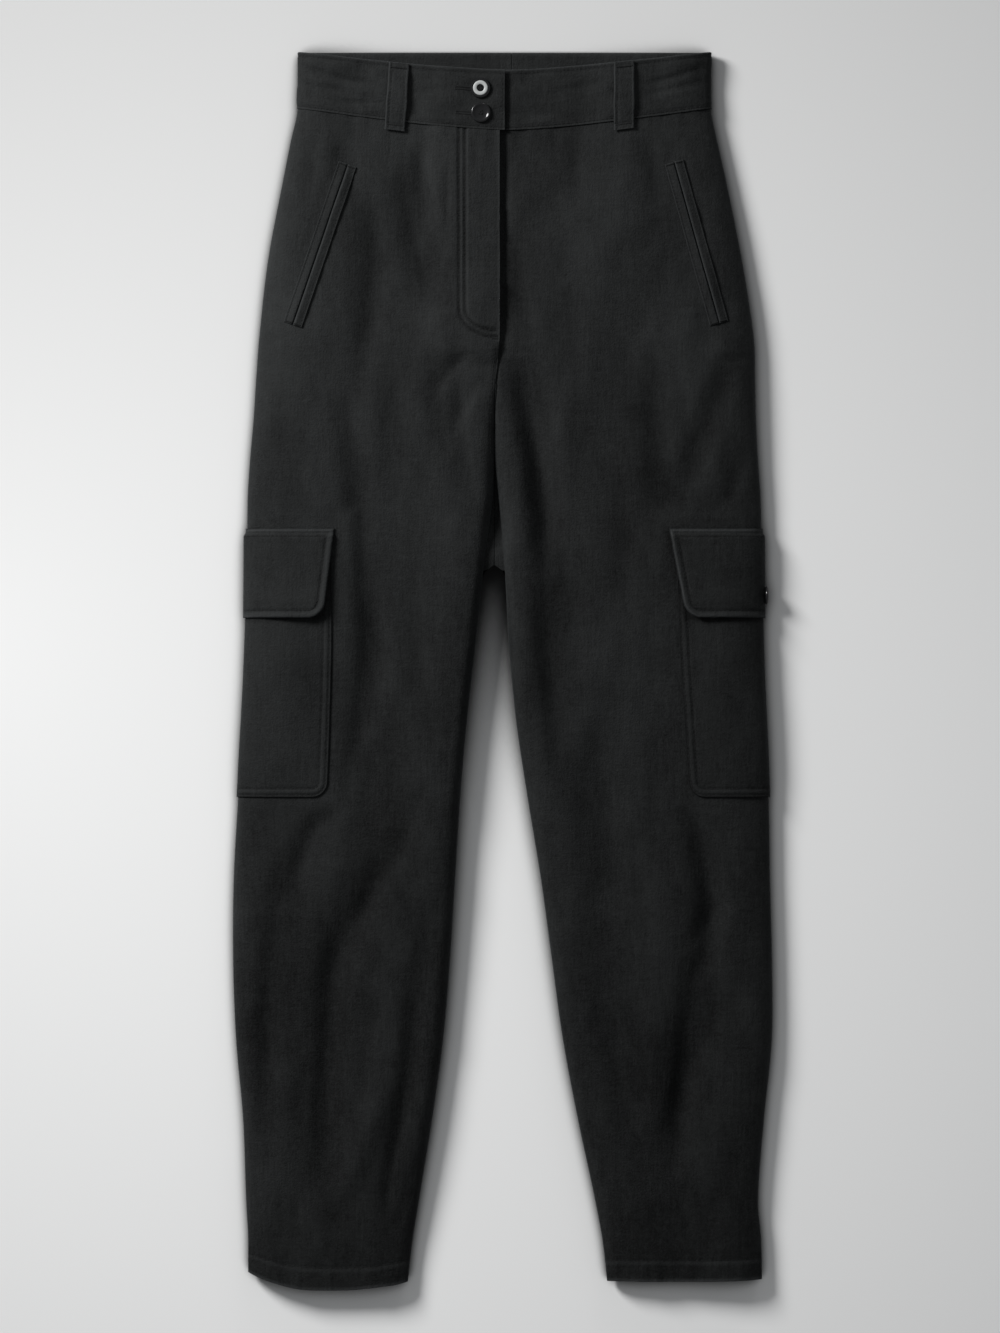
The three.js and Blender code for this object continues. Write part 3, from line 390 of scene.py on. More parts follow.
def front_height(x, y, d_outer, d_inner):
    """Height of the fronts' outer face: an arch with folds between the outer and the inner fold."""
    valley = 1 - (1 - front_fill(y)) * (1 - rounded(d_inner, INNER_ROUND))
    cover = rounded(d_outer, FRONT_ROUND) * valley
    share = fold_share(y, d_outer)
    small = crease_height(x, y, CREASES) * np.interp(y, SHARE_Y, CREASE_SHARE) + uneven(x, y, 11)
    folds = fold_height(x, y) * np.interp(y, SHARE_Y, FOLD_SHARE)
    arch = (crown(y) + folds * share + small * (0.25 + 0.75 * share)) * cover
    return seam_height(y, d_inner) + SEAM_GAP / 2 + arch


def back_height(side, x, y, d_outer, d_inner):
    """Height of the backs' outer face, which lies low between the folds and over what is beneath it."""
    valley = 1 - (1 - back_fill(y)) * (1 - rounded(d_inner, BACK_ROUND))
    cover = rounded(d_outer, BACK_ROUND) * valley
    beside = 1 - fade(d_outer, *POCKET_LIFT_REACH)
    lift = waist_lift(y) + pocket_lift[side](y) * beside
    loose = fade(d_outer, 90, 130) * fade(np.abs(y - 530), 120, 160) * (1 - fade(y, 940, 965))
    lift = lift + np.maximum(0, 0.5 * uneven(x * 1.3, y, 31) + 0.15) * loose
    seam = seam_height(y, d_inner) - SEAM_GAP / 2
    return seam + (lift - seam) * cover


def fly_lift(x, y):
    """The right front stands higher at the fly, over the left one."""
    beside = fade(x, *FLY_RISE_X)
    below = fade(y, FLY_BOTTOM_Y - FLY_RISE_BELOW[0], FLY_BOTTOM_Y - FLY_RISE_BELOW[1])
    return FLY_LIFT * beside * below


def hem_line(side, middle, share):
    """Height of a hem from its middle to its ends, where share is the place across the leg."""
    end = np.where(share < 0.5, HEM[side][0], HEM[side][2])
    return middle + (end - middle) * (1 - 2 * np.minimum(share, 1 - share)) ** HEM_POWER


def spaced(start, end, step):
    """Even places from start up to, but not including, end."""
    count = max(1, round((end - start) / step))
    return np.linspace(start, end, count + 1)[:-1]


NEAR_FOLD = np.array([0, 0.4, 1, 1.9, 3.1, 4.6, 6.5, 9, 12, 15.5, 19.5, 24])
EXTENSION = np.array([0.12, 0.3, 0.5, 0.7, 0.88, 1])


def panel_columns(side, y, near_inner, step, shift=0):
    """For each row's main columns x and the distances from both folds, and each row's inner edge."""
    sign = TO_CENTRE[side]
    outer = outer_x[side](y)
    edge = inner_x[side](y) + shift - sign * np.where(y > FORK_Y, SEAM_GAP / 2, 0)
    width = np.abs(edge - outer)
    count = round((np.max(width) - NEAR_FOLD[-1] - near_inner[-1]) / step)
    t = np.linspace(0, 1, count + 1)[1:-1]
    start, end = NEAR_FOLD[-1], (width - near_inner[-1])[:, None]
    d_outer = np.hstack([
        np.tile(NEAR_FOLD, (len(y), 1)),
        start + (end - start) * t,
        width[:, None] - near_inner[::-1],
    ])
    return outer[:, None] + sign * d_outer, d_outer, width[:, None] - d_outer, edge


def extend(x, d_outer, d_inner, reach):
    """Adds the columns that go on past the inner edge by reach."""
    more = x[:, -1:] + reach[:, None] * EXTENSION
    blank = np.zeros_like(more)
    d_outer = np.hstack([d_outer, d_outer[:, -1:] + blank])
    return np.hstack([x, more]), d_outer, np.hstack([d_inner, blank])


def past_fork(y, edge, centre):
    """How far each row goes on past its inner edge to the centre seam, in an arc at the fork."""
    q = np.clip((y - FORK_Y + ARCH) / ARCH, 0, 1)
    return (1 - np.sqrt(1 - q * q)) * (centre - edge)


def open_front_height(side, x, rows):
    """Height of a front away from its inner edge."""
    return front_height(x, rows, np.abs(outer_x[side](rows) - x), INNER_ROUND + 0 * x)


def wall_thickness(y):
    return np.where(y <= HEM_TURN, CLOTH * HEM_SHARE, CLOTH)


class Grid:
    """Outer points of a piece, with a place (u, v) for each: v is the same along a row."""

    def __init__(self, points, u, v, flip=False, live=None):
        self.points, self.u, self.v, self.flip = points, u, v, flip
        along = np.gradient(points, axis=1)
        up = np.gradient(points, axis=0)
        normals = np.cross(along, up)
        size = np.linalg.norm(normals, axis=2, keepdims=True)
        if live is not None:
            last = live - 1
            normals[:, live:] = np.where(size[:, live:] > 1e-3, normals[:, live:], normals[:, last:live])
            size = np.linalg.norm(normals, axis=2, keepdims=True)
        self.normals = normals / size * (-1 if flip else 1)

    def raised(self, offset):
        return Grid(self.points + self.normals * offset[..., None], self.u, self.v, self.flip)

    def at(self, u, v):
        """Points and normals at places (u, v)."""
        row = np.interp(v, self.v, np.arange(len(self.v)))
        low = np.minimum(row.astype(int), len(self.v) - 2)
        t = row - low
        out = []
        for values in (self.points, self.normals):
            got = np.zeros((len(u), 3))
            for k in range(len(u)):
                for j, share in ((low[k], 1 - t[k]), (low[k] + 1, t[k])):
                    order = 1 if self.u[j, -1] > self.u[j, 0] else -1
                    us = self.u[j][::order]
                    for axis in range(3):
                        got[k, axis] += share * np.interp(u[k], us, values[j, :, axis][::order])
            out.append(got)
        out[1] /= np.linalg.norm(out[1], axis=1, keepdims=True)
        return out


loop_low, loop_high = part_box("loop_back_centre")
SHIFT = np.array([
    (loop_low[0] + loop_high[0]) / 2 / MM - LOOPS["loop_back_centre"][1],
    loop_high[1] / MM - (TOP_Y - 0.6),
    0,
])


def placed(name, data):
    """A new object in the scene."""
    made = bpy.data.objects.new(name, data)
    bpy.context.scene.collection.objects.link(made)
    return made


def new_object(name, points, faces, material, tone=None):
    mesh = bpy.data.meshes.new(name)
    mesh.from_pydata(((points + SHIFT) * MM).tolist(), [], [list(f) for f in faces])
    if tone is not None:
        layer = mesh.attributes.new("tone", "FLOAT", "POINT")
        layer.data.foreach_set("value", tone.astype(np.float32))
    work = bmesh.new()
    work.from_mesh(mesh)
    bmesh.ops.remove_doubles(work, verts=work.verts, dist=2e-6)
    bmesh.ops.dissolve_degenerate(work, edges=work.edges, dist=1e-7)
    work.to_mesh(mesh)
    work.free()
    mesh.polygons.foreach_set("use_smooth", [True] * len(mesh.polygons))
    mesh.materials.append(material)
    return placed(name, mesh)


def quads(index):
    corners = [index[:-1, :-1], index[:-1, 1:], index[1:, 1:], index[1:, :-1]]
    return np.stack(corners, -1).reshape(-1, 4)


def shell(name, grid, thick, material, floor=None, ceiling=None, tone=None):
    """A closed thin wall whose outer face is the grid."""
    inner = grid.points - grid.normals * (np.zeros(grid.u.shape) + thick)[..., None]
    outer = grid.points.copy()
    for face in (outer, inner):
        if floor is not None:
            face[..., 2] = np.maximum(face[..., 2], floor)
        if ceiling is not None:
            face[..., 2] = np.minimum(face[..., 2], ceiling)
        face[..., 2] = np.maximum(face[..., 2], 0)
    rows, columns = grid.u.shape
    index = np.arange(rows * columns).reshape(rows, columns)
    under = index + rows * columns
    border = np.concatenate([index[0, :-1], index[:-1, -1], index[-1, :0:-1], index[:0:-1, 0]])
    ahead = np.roll(border, -1)
    rim = np.stack([ahead, border, border + rows * columns, ahead + rows * columns], -1)
    faces = np.vstack([quads(index), quads(under)[:, ::-1], rim])
    if grid.flip:
        faces = faces[:, ::-1]
    tone = np.zeros(grid.u.shape) if tone is None else tone
    tones = np.concatenate([tone.ravel(), np.zeros(tone.size)])
    points = np.vstack([outer.reshape(-1, 3), inner.reshape(-1, 3)])
    return new_object(name, points, faces, material, tones)


NARROWEST_CUT = 0.0101


def flat_size(grid):
    """Width, length and area of the cloth of a grid, in metres."""
    p = grid.points * MM
    width = np.linalg.norm(np.diff(p, axis=1), axis=2).sum(1).max()
    length = np.linalg.norm(np.diff(p, axis=0), axis=2).sum(0).max()
    a, b = p[:-1, :-1] - p[1:, 1:], p[:-1, 1:] - p[1:, :-1]
    area = 0.5 * np.linalg.norm(np.cross(a, b), axis=2).sum()
    return float(width), float(length), float(area)


def cloth(name, grid, thick, material, rests_on, node=None, with_pieces=(), **more):
    """A sewn piece of cloth: its shell in place of its node, and its flat size."""
    piece = shell(name, grid, thick, material, **more)
    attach(piece, "root")
    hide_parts(node)
    width, length, area = flat_size(grid)
    width = max(width, NARROWEST_CUT)
    area = min(area, width * length)


THREAD = 0.42
STITCH = 2.9
STITCH_GAP = 0.75


class Threads:
    """Small rounded stitches, gathered into one piece."""

    sides, ends = 6, (-1, -0.82, 0.82, 1)

    def __init__(self, name):
        self.name, self.points, self.faces = name, [], []

    def add(self, middle, along, up, length, thick=THREAD):
        along = along / np.linalg.norm(along)
        across = np.cross(up, along)
        across /= np.linalg.norm(across)
        up = np.cross(along, across)
        start = len(self.points)
        for e in self.ends:
            radius = thick / 2 * (0.35 if abs(e) == 1 else 1)
            sag = thick * 0.25 if abs(e) == 1 else 0
            for k in range(self.sides):
                angle = 2 * math.pi * k / self.sides
                ring = across * math.cos(angle) + up * math.sin(angle)
                self.points.append(middle + along * e * length / 2 + ring * radius - up * sag)
        n = self.sides
        for ring in range(len(self.ends) - 1):
            for k in range(n):
                a, b = start + ring * n + k, start + ring * n + (k + 1) % n
                self.faces.append((a, b, b + n, a + n))
        self.faces.append(tuple(start + k for k in reversed(range(n))))
        self.faces.append(tuple(start + (len(self.ends) - 1) * n + k for k in range(n)))

    def run(self, grid, us, vs, length=STITCH, gap=STITCH_GAP, thick=THREAD):
        """Stitches along a path on a grid."""
        p, normal = grid.at(np.asarray(us, float), np.asarray(vs, float))
        s = np.concatenate([[0], np.cumsum(np.linalg.norm(np.diff(p, axis=0), axis=1))])
        count = int(s[-1] // (length + gap))
        for k in range(count):
            middle = (k + 0.5) * (length + gap)
            start = np.array([np.interp(middle - length / 2, s, p[:, a]) for a in range(3)])
            end = np.array([np.interp(middle + length / 2, s, p[:, a]) for a in range(3)])
            up = np.array([np.interp(middle, s, normal[:, a]) for a in range(3)])
            self.add((start + end) / 2 + up * thick * 0.12, end - start, up, length, thick)

    def bar(self, grid, u0, v0, u1, v1, width=1.6, step=0.42):
        """A bar tack: dense stitches across the line from one place to the other."""
        count = max(3, int(math.hypot(u1 - u0, v1 - v0) / step))
        t = np.linspace(0, 1, count)
        p, normal = grid.at(u0 + (u1 - u0) * t, v0 + (v1 - v0) * t)
        along = p[-1] - p[0]
        for k in range(count):
            across = np.cross(normal[k], along)
            self.add(p[k] + normal[k] * 0.18, across, normal[k], width, 0.5)

    def finish(self, material):
        points = np.array(self.points)
        points[:, 2] = np.maximum(points[:, 2], 0)
        piece = new_object(self.name, points, self.faces, material)
        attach(piece, "root")
        return piece


# Materials: shader nodes only


def link(tree, source, target):
    tree.links.new(source, target)


def node(tree, kind, **values):
    made = tree.nodes.new(kind)
    for key, value in values.items():
        if key in made.inputs:
            made.inputs[key].default_value = value
        else:
            setattr(made, key, value)
    return made


def math_node(tree, operation, a, b):
    made = node(tree, "ShaderNodeMath", operation=operation)
    for socket, value in zip(made.inputs, (a, b)):
        if isinstance(value, (int, float)):
            socket.default_value = value
        else:
            link(tree, value, socket)
    return made.outputs[0]


def new_material(name):
    """A material with its node tree, its shader and the object's own coordinates."""
    material = bpy.data.materials.new(name)
    material.use_nodes = True
    tree = material.node_tree
    place = node(tree, "ShaderNodeTexCoord").outputs["Object"]
    return material, tree, tree.nodes["Principled BSDF"], place


def streaks(tree, place, scale, detail=2.0):
    """Noise stretched by a scale along each axis."""
    mapping = node(tree, "ShaderNodeMapping")
    mapping.inputs["Scale"].default_value = scale
    link(tree, place, mapping.inputs["Vector"])
    made = node(tree, "ShaderNodeTexNoise", Scale=1.0, Detail=detail, Roughness=0.55)
    link(tree, mapping.outputs["Vector"], made.inputs["Vector"])
    return made.outputs["Fac"]


# Painted light: how much paler the cloth is painted for each metre across and up the garment, and up to
# where; it is palest towards the waist and the wearer's right, where the key lamp is
PAINTED_LIGHT_SLOPE = {"X": (-0.36, 0.2), "Y": (0.5, 0.26)}


def twill_material(name, colour, worn, relief=1.0):
    """Matte twill: diagonal ribs, slubs both ways, uneven dye, paler worn edges, painted light across and
    up the garment, and painted shade where the tone is below zero.
    """
    material, tree, shader, place = new_material(name)
    warp = streaks(tree, place, (520, 46, 520), 3.0)
    layers = (
        (streaks(tree, place, (90, 430, 430), 3.0), 0.34),
        (warp, 0.5),
        (streaks(tree, place, (26, 240, 240), 2.0), 0.16),
        (streaks(tree, place, (760, 700, 760), 2.0), 0.95),
        (streaks(tree, place, (260, 210, 260), 2.0), 0.4),
        (streaks(tree, place, (60, 34, 60), 3.0), 0.45),
    )
    grain = 0.0
    for noise_out, weight in layers:
        part = math_node(tree, "MULTIPLY", math_node(tree, "SUBTRACT", noise_out, 0.5), weight)
        grain = math_node(tree, "ADD", part, grain)
    clouds = math_node(tree, "MULTIPLY", streaks(tree, place, (14, 6, 14), 3.0), 0.9)
    shade = math_node(tree, "ADD", grain, math_node(tree, "ADD", clouds, 0.02))
    # Painted light: the cloth is a little darker towards the hems and to the left, away from the key lamp
    along = node(tree, "ShaderNodeSeparateXYZ")
    link(tree, place, along.inputs[0])
    for axis, (lit_slope, reach) in PAINTED_LIGHT_SLOPE.items():
        place_along = math_node(tree, "MINIMUM", along.outputs[axis], reach)
        shade = math_node(tree, "ADD", shade, math_node(tree, "MULTIPLY", place_along, lit_slope))
    # Painted shade: a tone below zero is a place that light doesn't reach, such as a row of stitches, and
    # the cloth is painted darker there
    tone = node(tree, "ShaderNodeAttribute", attribute_name="tone")
    painted_shade = math_node(tree, "MULTIPLY", math_node(tree, "MINIMUM", tone.outputs["Fac"], 0.0), 0.45)
    shade = math_node(tree, "ADD", shade, painted_shade)
    ramp = node(tree, "ShaderNodeMix", data_type="RGBA")
    ramp.inputs["A"].default_value = (*[c * 0.1 for c in colour], 1)
    ramp.inputs["B"].default_value = (*[c * 1.9 for c in colour], 1)
    link(tree, shade, ramp.inputs["Factor"])
    wear = math_node(tree, "MULTIPLY", tone.outputs["Fac"], math_node(tree, "ADD", warp, 0.3))
    mix = node(tree, "ShaderNodeMix", data_type="RGBA")
    link(tree, wear, mix.inputs["Factor"])
    link(tree, ramp.outputs["Result"], mix.inputs["A"])
    mix.inputs["B"].default_value = (*worn, 1)
    link(tree, mix.outputs["Result"], shader.inputs["Base Color"])
    rib = node(tree, "ShaderNodeTexWave", wave_type="BANDS", bands_direction="DIAGONAL", Scale=330.0)
    rib.inputs["Distortion"].default_value = 1.2
    link(tree, place, rib.inputs["Vector"])
    height = math_node(tree, "ADD", grain, math_node(tree, "MULTIPLY", rib.outputs["Fac"], 0.12))
    bump = node(tree, "ShaderNodeBump", Strength=0.7 * relief, Distance=0.0007)
    link(tree, height, bump.inputs["Height"])
    link(tree, bump.outputs["Normal"], shader.inputs["Normal"])
    rough = math_node(tree, "ADD", math_node(tree, "MULTIPLY", grain, 0.2), 0.82)
    link(tree, rough, shader.inputs["Roughness"])
    shader.inputs["Specular IOR Level"].default_value = 0.12
    shader.inputs["Sheen Weight"].default_value = 0.03
    shader.inputs["Sheen Roughness"].default_value = 0.5
    shader.inputs["Sheen Tint"].default_value = (0.8, 0.9, 0.95, 1)
    return material


def gloss_material(name, colour, roughness, marbled=0.0):
    """Polished button plastic with faint clouds and handling marks."""
    material, tree, shader, place = new_material(name)
    clouds = streaks(tree, place, (420, 420, 420), 3.0)
    mix = node(tree, "ShaderNodeMix", data_type="RGBA")
    link(tree, clouds, mix.inputs["Factor"])
    mix.inputs["A"].default_value = (*[c * (1 - marbled) for c in colour], 1)
    mix.inputs["B"].default_value = (*[min(1, c * (1 + marbled)) for c in colour], 1)
    link(tree, mix.outputs["Result"], shader.inputs["Base Color"])
    scuffs = streaks(tree, place, (2600, 900, 2600), 2.0)
    rough = math_node(tree, "ADD", math_node(tree, "MULTIPLY", scuffs, 0.12), roughness - 0.06)
    link(tree, rough, shader.inputs["Roughness"])
    bump = node(tree, "ShaderNodeBump", Strength=0.08, Distance=0.0002)
    link(tree, scuffs, bump.inputs["Height"])
    link(tree, bump.outputs["Normal"], shader.inputs["Normal"])
    shader.inputs["Specular IOR Level"].default_value = 0.3
    return material


BLACK = (0.0092, 0.0098, 0.0098)
WORN = (0.026, 0.0275, 0.028)
twill = twill_material("black_twill", BLACK, WORN)
patch_twill = twill_material("black_twill_pockets", tuple(c * 0.93 for c in BLACK), WORN)
thread_black = twill_material("black_thread", (0.0075, 0.0078, 0.0078), WORN, 0.6)
button_black = gloss_material("button_black", (0.008, 0.008, 0.0085), 0.2, 0.3)
# Painted reflection: a pale grey ring stands in for the lamp's reflection in the upper waist button
button_painted_reflection = gloss_material("button_painted_reflection", (0.33, 0.34, 0.335), 0.34, 0.16)


# Fronts

FRONT_ROWS = np.concatenate([
    [0, 0.4, 1.0], spaced(2, 26, 1.3), spaced(26, 776, 4.6), spaced(776, 846, 1.7),
    spaced(846, 984, 4.6), spaced(984, WAIST_Y - SEAM_GAP / 2 - 0.4, 1.8),
    [WAIST_Y - SEAM_GAP / 2 - 0.4, WAIST_Y - SEAM_GAP / 2],
])
NEAR_INNER = {
    "right": np.concatenate([[0, 0.4, 1, 1.8], spaced(2.8, 46, 1.25), [46]]),
    "left": NEAR_FOLD,
}
INSEAM_ALLOWANCE = 11.5


def fly_stitch_distance(x, y):
    """Distance in plan from the nearer of the fly's two rows of stitches."""
    nearest = np.full(np.broadcast(x, y).shape, 99.0)
    for straight, end, drop in FLY_STITCHES:
        reach = end - straight
        radial = np.hypot((x - end) / reach, (y - FLY_CURVE_Y) / drop)
        below = np.abs(radial - 1) * min(reach, drop)
        off = np.where(y >= FLY_CURVE_Y, np.abs(x - straight), np.where(x < end + 2, below, 99))
        nearest = np.minimum(nearest, off)
    return nearest


def fly_stitch_path(straight, end, drop, top):
    turn = np.linspace(0, math.pi / 2, 24)
    xs = np.concatenate([np.full(40, straight), end - (end - straight) * np.cos(turn)])
    ys = np.concatenate([np.linspace(top, FLY_CURVE_Y + 1, 40), FLY_CURVE_Y - drop * np.sin(turn)])
    return xs, row_of(xs, ys)


def welt_frame(side):
    """Bottom of a slit, its direction and its length."""
    x0, y0, x1, y1 = WELT_POCKET[side]
    length = math.hypot(x0 - x1, y0 - y1)
    return x1, y1, (x0 - x1) / length, (y0 - y1) / length, length


def welt_dent(side, x, y):
    """The front sinks a little round a slanted pocket, where its stitches pull."""
    x0, y0, ux, uy, length = welt_frame(side)
    b = (x - x0) * ux + (y - y0) * uy
    a = (x - x0) * uy - (y - y0) * ux
    inside = fade(b, -6, 2) * (1 - fade(b, length - 2, length + 6))
    edge = WELT_WIDTH + 1.6
    pulled = 0.35 * (noise(b / 9, a / 20, 71) - 0.4) * bell(np.abs(a) - edge - 4, 6)
    return inside * (groove(np.abs(a) - edge, 0.5, 1.6) + pulled)


def front_relief(side, x, y, plan_y, d_outer, d_inner):
    """Stitch grooves, puckers and raised edges of a front."""
    hem = 0.45 * (1 - fade(y, HEM_TURN - 2.6, HEM_TURN - 0.6))
    hem += groove(y - HEM_STITCH_Y, 0.5, 0.9)
    puckers = noise(x / 5.5, y / 30, 41) * 0.28 * (1 - fade(y, HEM_TURN - 3, HEM_TURN + 16))
    waist = noise(x / 6.5, y / 60, 42) * 0.55 * fade(y, WAIST_Y - 42, WAIST_Y - 4)
    open_legs = 1 - fade(y, FORK_Y - 60, FORK_Y + 10)
    allowance = 0.4 * (1 - fade(d_inner, INSEAM_ALLOWANCE - 1.5, INSEAM_ALLOWANCE + 0.8))
    allowance = allowance * fade(d_inner, 3, 7) * open_legs * (1.0 if side == "left" else 0.6)
    seam = noise(y / 8, x / 40, 43) * 0.3 * bell(d_outer - 14, 9)
    inseam = noise(y / 8, x / 40, 44) * 0.32 * bell(d_inner - 13, 9) * open_legs
    total = hem + puckers + waist + allowance + seam + inseam + welt_dent(side, x, plan_y)
    centre = np.abs(x - centre_x(y))
    along_centre = fade(y, 690, 730) * (1 - fade(y, FLY_BOTTOM_Y - 6, FLY_BOTTOM_Y))
    total += groove(centre - 0.4, 0.9, 1.8) * along_centre
    total += noise(y / 6, x / 30, 45) * 0.35 * bell(centre - 6, 6) * along_centre
    if side == "right":
        total += groove(centre - 3.2, 0.35, 0.9) * along_centre
        fly = fade(y, FLY_BOTTOM_Y - 4, FLY_BOTTOM_Y + 3)
        distance = fly_stitch_distance(x, plan_y)
        inside = fade(x, -30, -26) * fade(plan_y, 806, 812)
        total += groove(distance, 1.1, 1.25) + 0.6 * inside
        total += noise(plan_y / 7, x / 40, 46) * 0.3 * bell(x + 39, 5) * fly
        total += noise(plan_y / 9, x / 40, 47) * 0.22 * bell(x + 24, 5) * fly
    else:
        beside_fly = fade(y, FLY_BOTTOM_Y - 10, FLY_BOTTOM_Y + 12)
        total += -1.7 * bell(x - 2.5, 4.5) * beside_fly
    return total


def front_grid(side):
    y = FRONT_ROWS
    x, d_outer, d_inner, edge = panel_columns(side, y, NEAR_INNER[side], 4.2)
    main = x.shape[1]
    reach = past_fork(y, edge, centre_x(y) - TO_CENTRE[side] * SEAM_GAP / 2)
    if side == "left":
        under = -FLY_WIDTH * rounded(y - FLY_BOTTOM_Y, FLY_CURVE)
        reach = np.where(y > FLY_BOTTOM_Y, under, reach)
    x, d_outer, d_inner = extend(x, d_outer, d_inner, reach)
    rows = y[:, None] + np.zeros_like(x)
    share = np.clip(d_outer / (d_outer + d_inner), 0, 1)
    hem = hem_line(side, HEM[side][1], share) * (1 - fade(rows, 0, HEM_FADE))
    ragged = 0.5 * noise(x / 21, 0.5, 48) * (1 - fade(rows, 0, 12))
    plan_y = rows + hem + ragged - waist_dip(x, rows)
    z = front_height(x, rows, d_outer, d_inner)
    if side == "right":
        z = z + fly_lift(x, rows)
    relief = front_relief(side, x, rows, plan_y, d_outer, d_inner)
    cover = rounded(d_outer, 12) * np.maximum(rounded(d_inner, 10), front_fill(rows))
    z = z + relief * cover
    grid = Grid(np.stack([x, plan_y, z], -1), x, y, side == "left", main)
    return grid, d_inner, d_outer, cover


def front(side):
    grid, d_inner, d_outer, cover = front_grid(side)
    y = grid.v[:, None]
    edge_wear = 0.8 * bell(y - 0.8, 1.6) + 0.35 * bell(y - HEM_STITCH_Y + 3, 1.5)
    tone = edge_wear + 0.25 * bell(d_outer, 5) * (y > 30)
    # Painted shade in the folds and creases and in the hollows of the low wrinkles
    share = fold_share(y, d_outer)
    hollow = fold_height(grid.u, y) * share + crease_height(grid.u, y, CREASES)
    hollow = np.clip(hollow, -HOLLOW_DEPTH, 0) * cover
    tone = tone + np.interp(y, SHARE_Y, PAINTED_HOLLOW_SHADE) * hollow + WRINKLE_WEAR_AND_SHADE * uneven(grid.u, y, 11)
    # Painted shadow: the front is darker close beside a cargo flap
    reach = flap_edge(side, grid.v) - corner(grid.v - FLAP_LOW_Y)
    edge = ring_points(side, reach[:, None], grid.v)[:, :, 0]
    beside = np.maximum((grid.u - edge) * TO_CENTRE[side], 0)
    along_flap = fade(y, FLAP_LOW_Y - 4, FLAP_LOW_Y) * (1 - fade(y, FLAP_HIGH_Y - 3, FLAP_HIGH_Y + 1))
    tone = tone - 0.55 * bell(beside, FLAP_SHADE[side]) * along_flap
    threads = Threads(f"thread_front_{side}")
    xs = grid.u[12, 3:-8]
    threads.run(grid, xs, np.full(len(xs), HEM_STITCH_Y))
    if side == "right":
        for straight, end, drop in FLY_STITCHES:
            xs, rows = fly_stitch_path(straight, end, drop, 972)
            threads.run(grid, xs, rows)
            beside = np.abs(grid.u - straight)
            tone = tone + 0.18 * bell(beside - 2.2, 1.2) * (y > FLY_CURVE_Y)
        # Painted shade: the cloth is darker along the fly's rows of stitches
        off = fly_stitch_distance(grid.u, grid.points[..., 1])
        tone = tone - 1.1 * bell(off, 0.95)
        rows = np.linspace(FLY_BOTTOM_Y - 4, 700, 40)
        threads.run(grid, centre_x(rows) - 3.2, rows)
        threads.bar(grid, -6.5, 803.5, -2.0, 803.0, 2.2)
        tone = tone + 0.5 * bell(grid.u + 0.8, 1.1) * (y > FLY_BOTTOM_Y)
    else:
        # Painted shade: the left front is darker beside the fly
        tone = tone - 0.26 * bell(grid.u - 8, 22) * fade(y, 600, 680)
    sewn = threads.finish(thread_black)
    cloth(
        f"cloth_front_{side}", grid, wall_thickness(y), twill, [f"back_{side}"],
        node=f"front_{side}", with_pieces=[sewn], floor=seam_height(y, d_inner) + SEAM_GAP / 2, tone=tone,
    )


# Backs, which lie on the surface

BACK_ROWS = np.concatenate([
    [0, 0.5, 1.2], spaced(2.5, 26, 3), spaced(26, 560, 8), spaced(560, 672, 4), spaced(672, 960, 8),
    spaced(960, WAIST_Y - SEAM_GAP / 2 - 0.5, 4), [WAIST_Y - SEAM_GAP / 2 - 0.5, WAIST_Y - SEAM_GAP / 2],
])


def back_grid(side, y, step=8):
    x, d_outer, d_inner, edge = panel_columns(side, y, NEAR_FOLD, step, back_shift(y))
    main = x.shape[1]
    reach = past_fork(y, edge, centre_x(y) + back_shift(y) - TO_CENTRE[side] * SEAM_GAP / 2)
    x, d_outer, d_inner = extend(x, d_outer, d_inner, reach)
    rows = y[:, None] + np.zeros_like(x)
    share = np.clip(d_outer / (d_outer + d_inner), 0, 1)
    hem = hem_line(side, HEM[side][3], share) * (1 - fade(rows, 0, HEM_FADE))
    z = back_height(side, x, rows, d_outer, d_inner)
    return Grid(np.stack([x, rows + hem, z], -1), x, y, side == "right", main), d_inner


def back(side):
    grid, d_inner = back_grid(side, BACK_ROWS)
    y = grid.v[:, None]
    cloth(
        f"cloth_back_{side}", grid, wall_thickness(y), twill, ["floor"],
        node=f"back_{side}", ceiling=seam_height(y, d_inner) - SEAM_GAP / 2,
    )


# Waistband

BAND_ROWS = np.concatenate([
    [WAIST_Y + 0.15, WAIST_Y + 0.5, WAIST_Y + 1.2], spaced(WAIST_Y + 2.2, TOP_Y - 3, 1.9),
    [TOP_Y - 3, TOP_Y - 2, TOP_Y - 1.2, TOP_Y - 0.6, TOP_Y - 0.2, TOP_Y],
])
# Horizontal creases of the band: x, row, x, row, bow, width, depth
BAND_CREASES = [
    (-168, 1030, -98, 1022, 2, 2.6, -1.1), (-166, 1016, -118, 1011, -1.5, 2.2, -0.9),
    (-150, 1006, -96, 1009, 1.5, 2.0, -0.6), (-96, 1018, -50, 1024, 1.5, 2.6, -0.5),
    (40, 1022, 92, 1026, -1.5, 2.6, -0.6), (116, 1022, 172, 1031, 2, 2.4, -1.0),
    (120, 1012, 168, 1016, -1.5, 2.2, -0.7), (8, 1010, 60, 1006, 1.5, 2.4, -0.4),
]


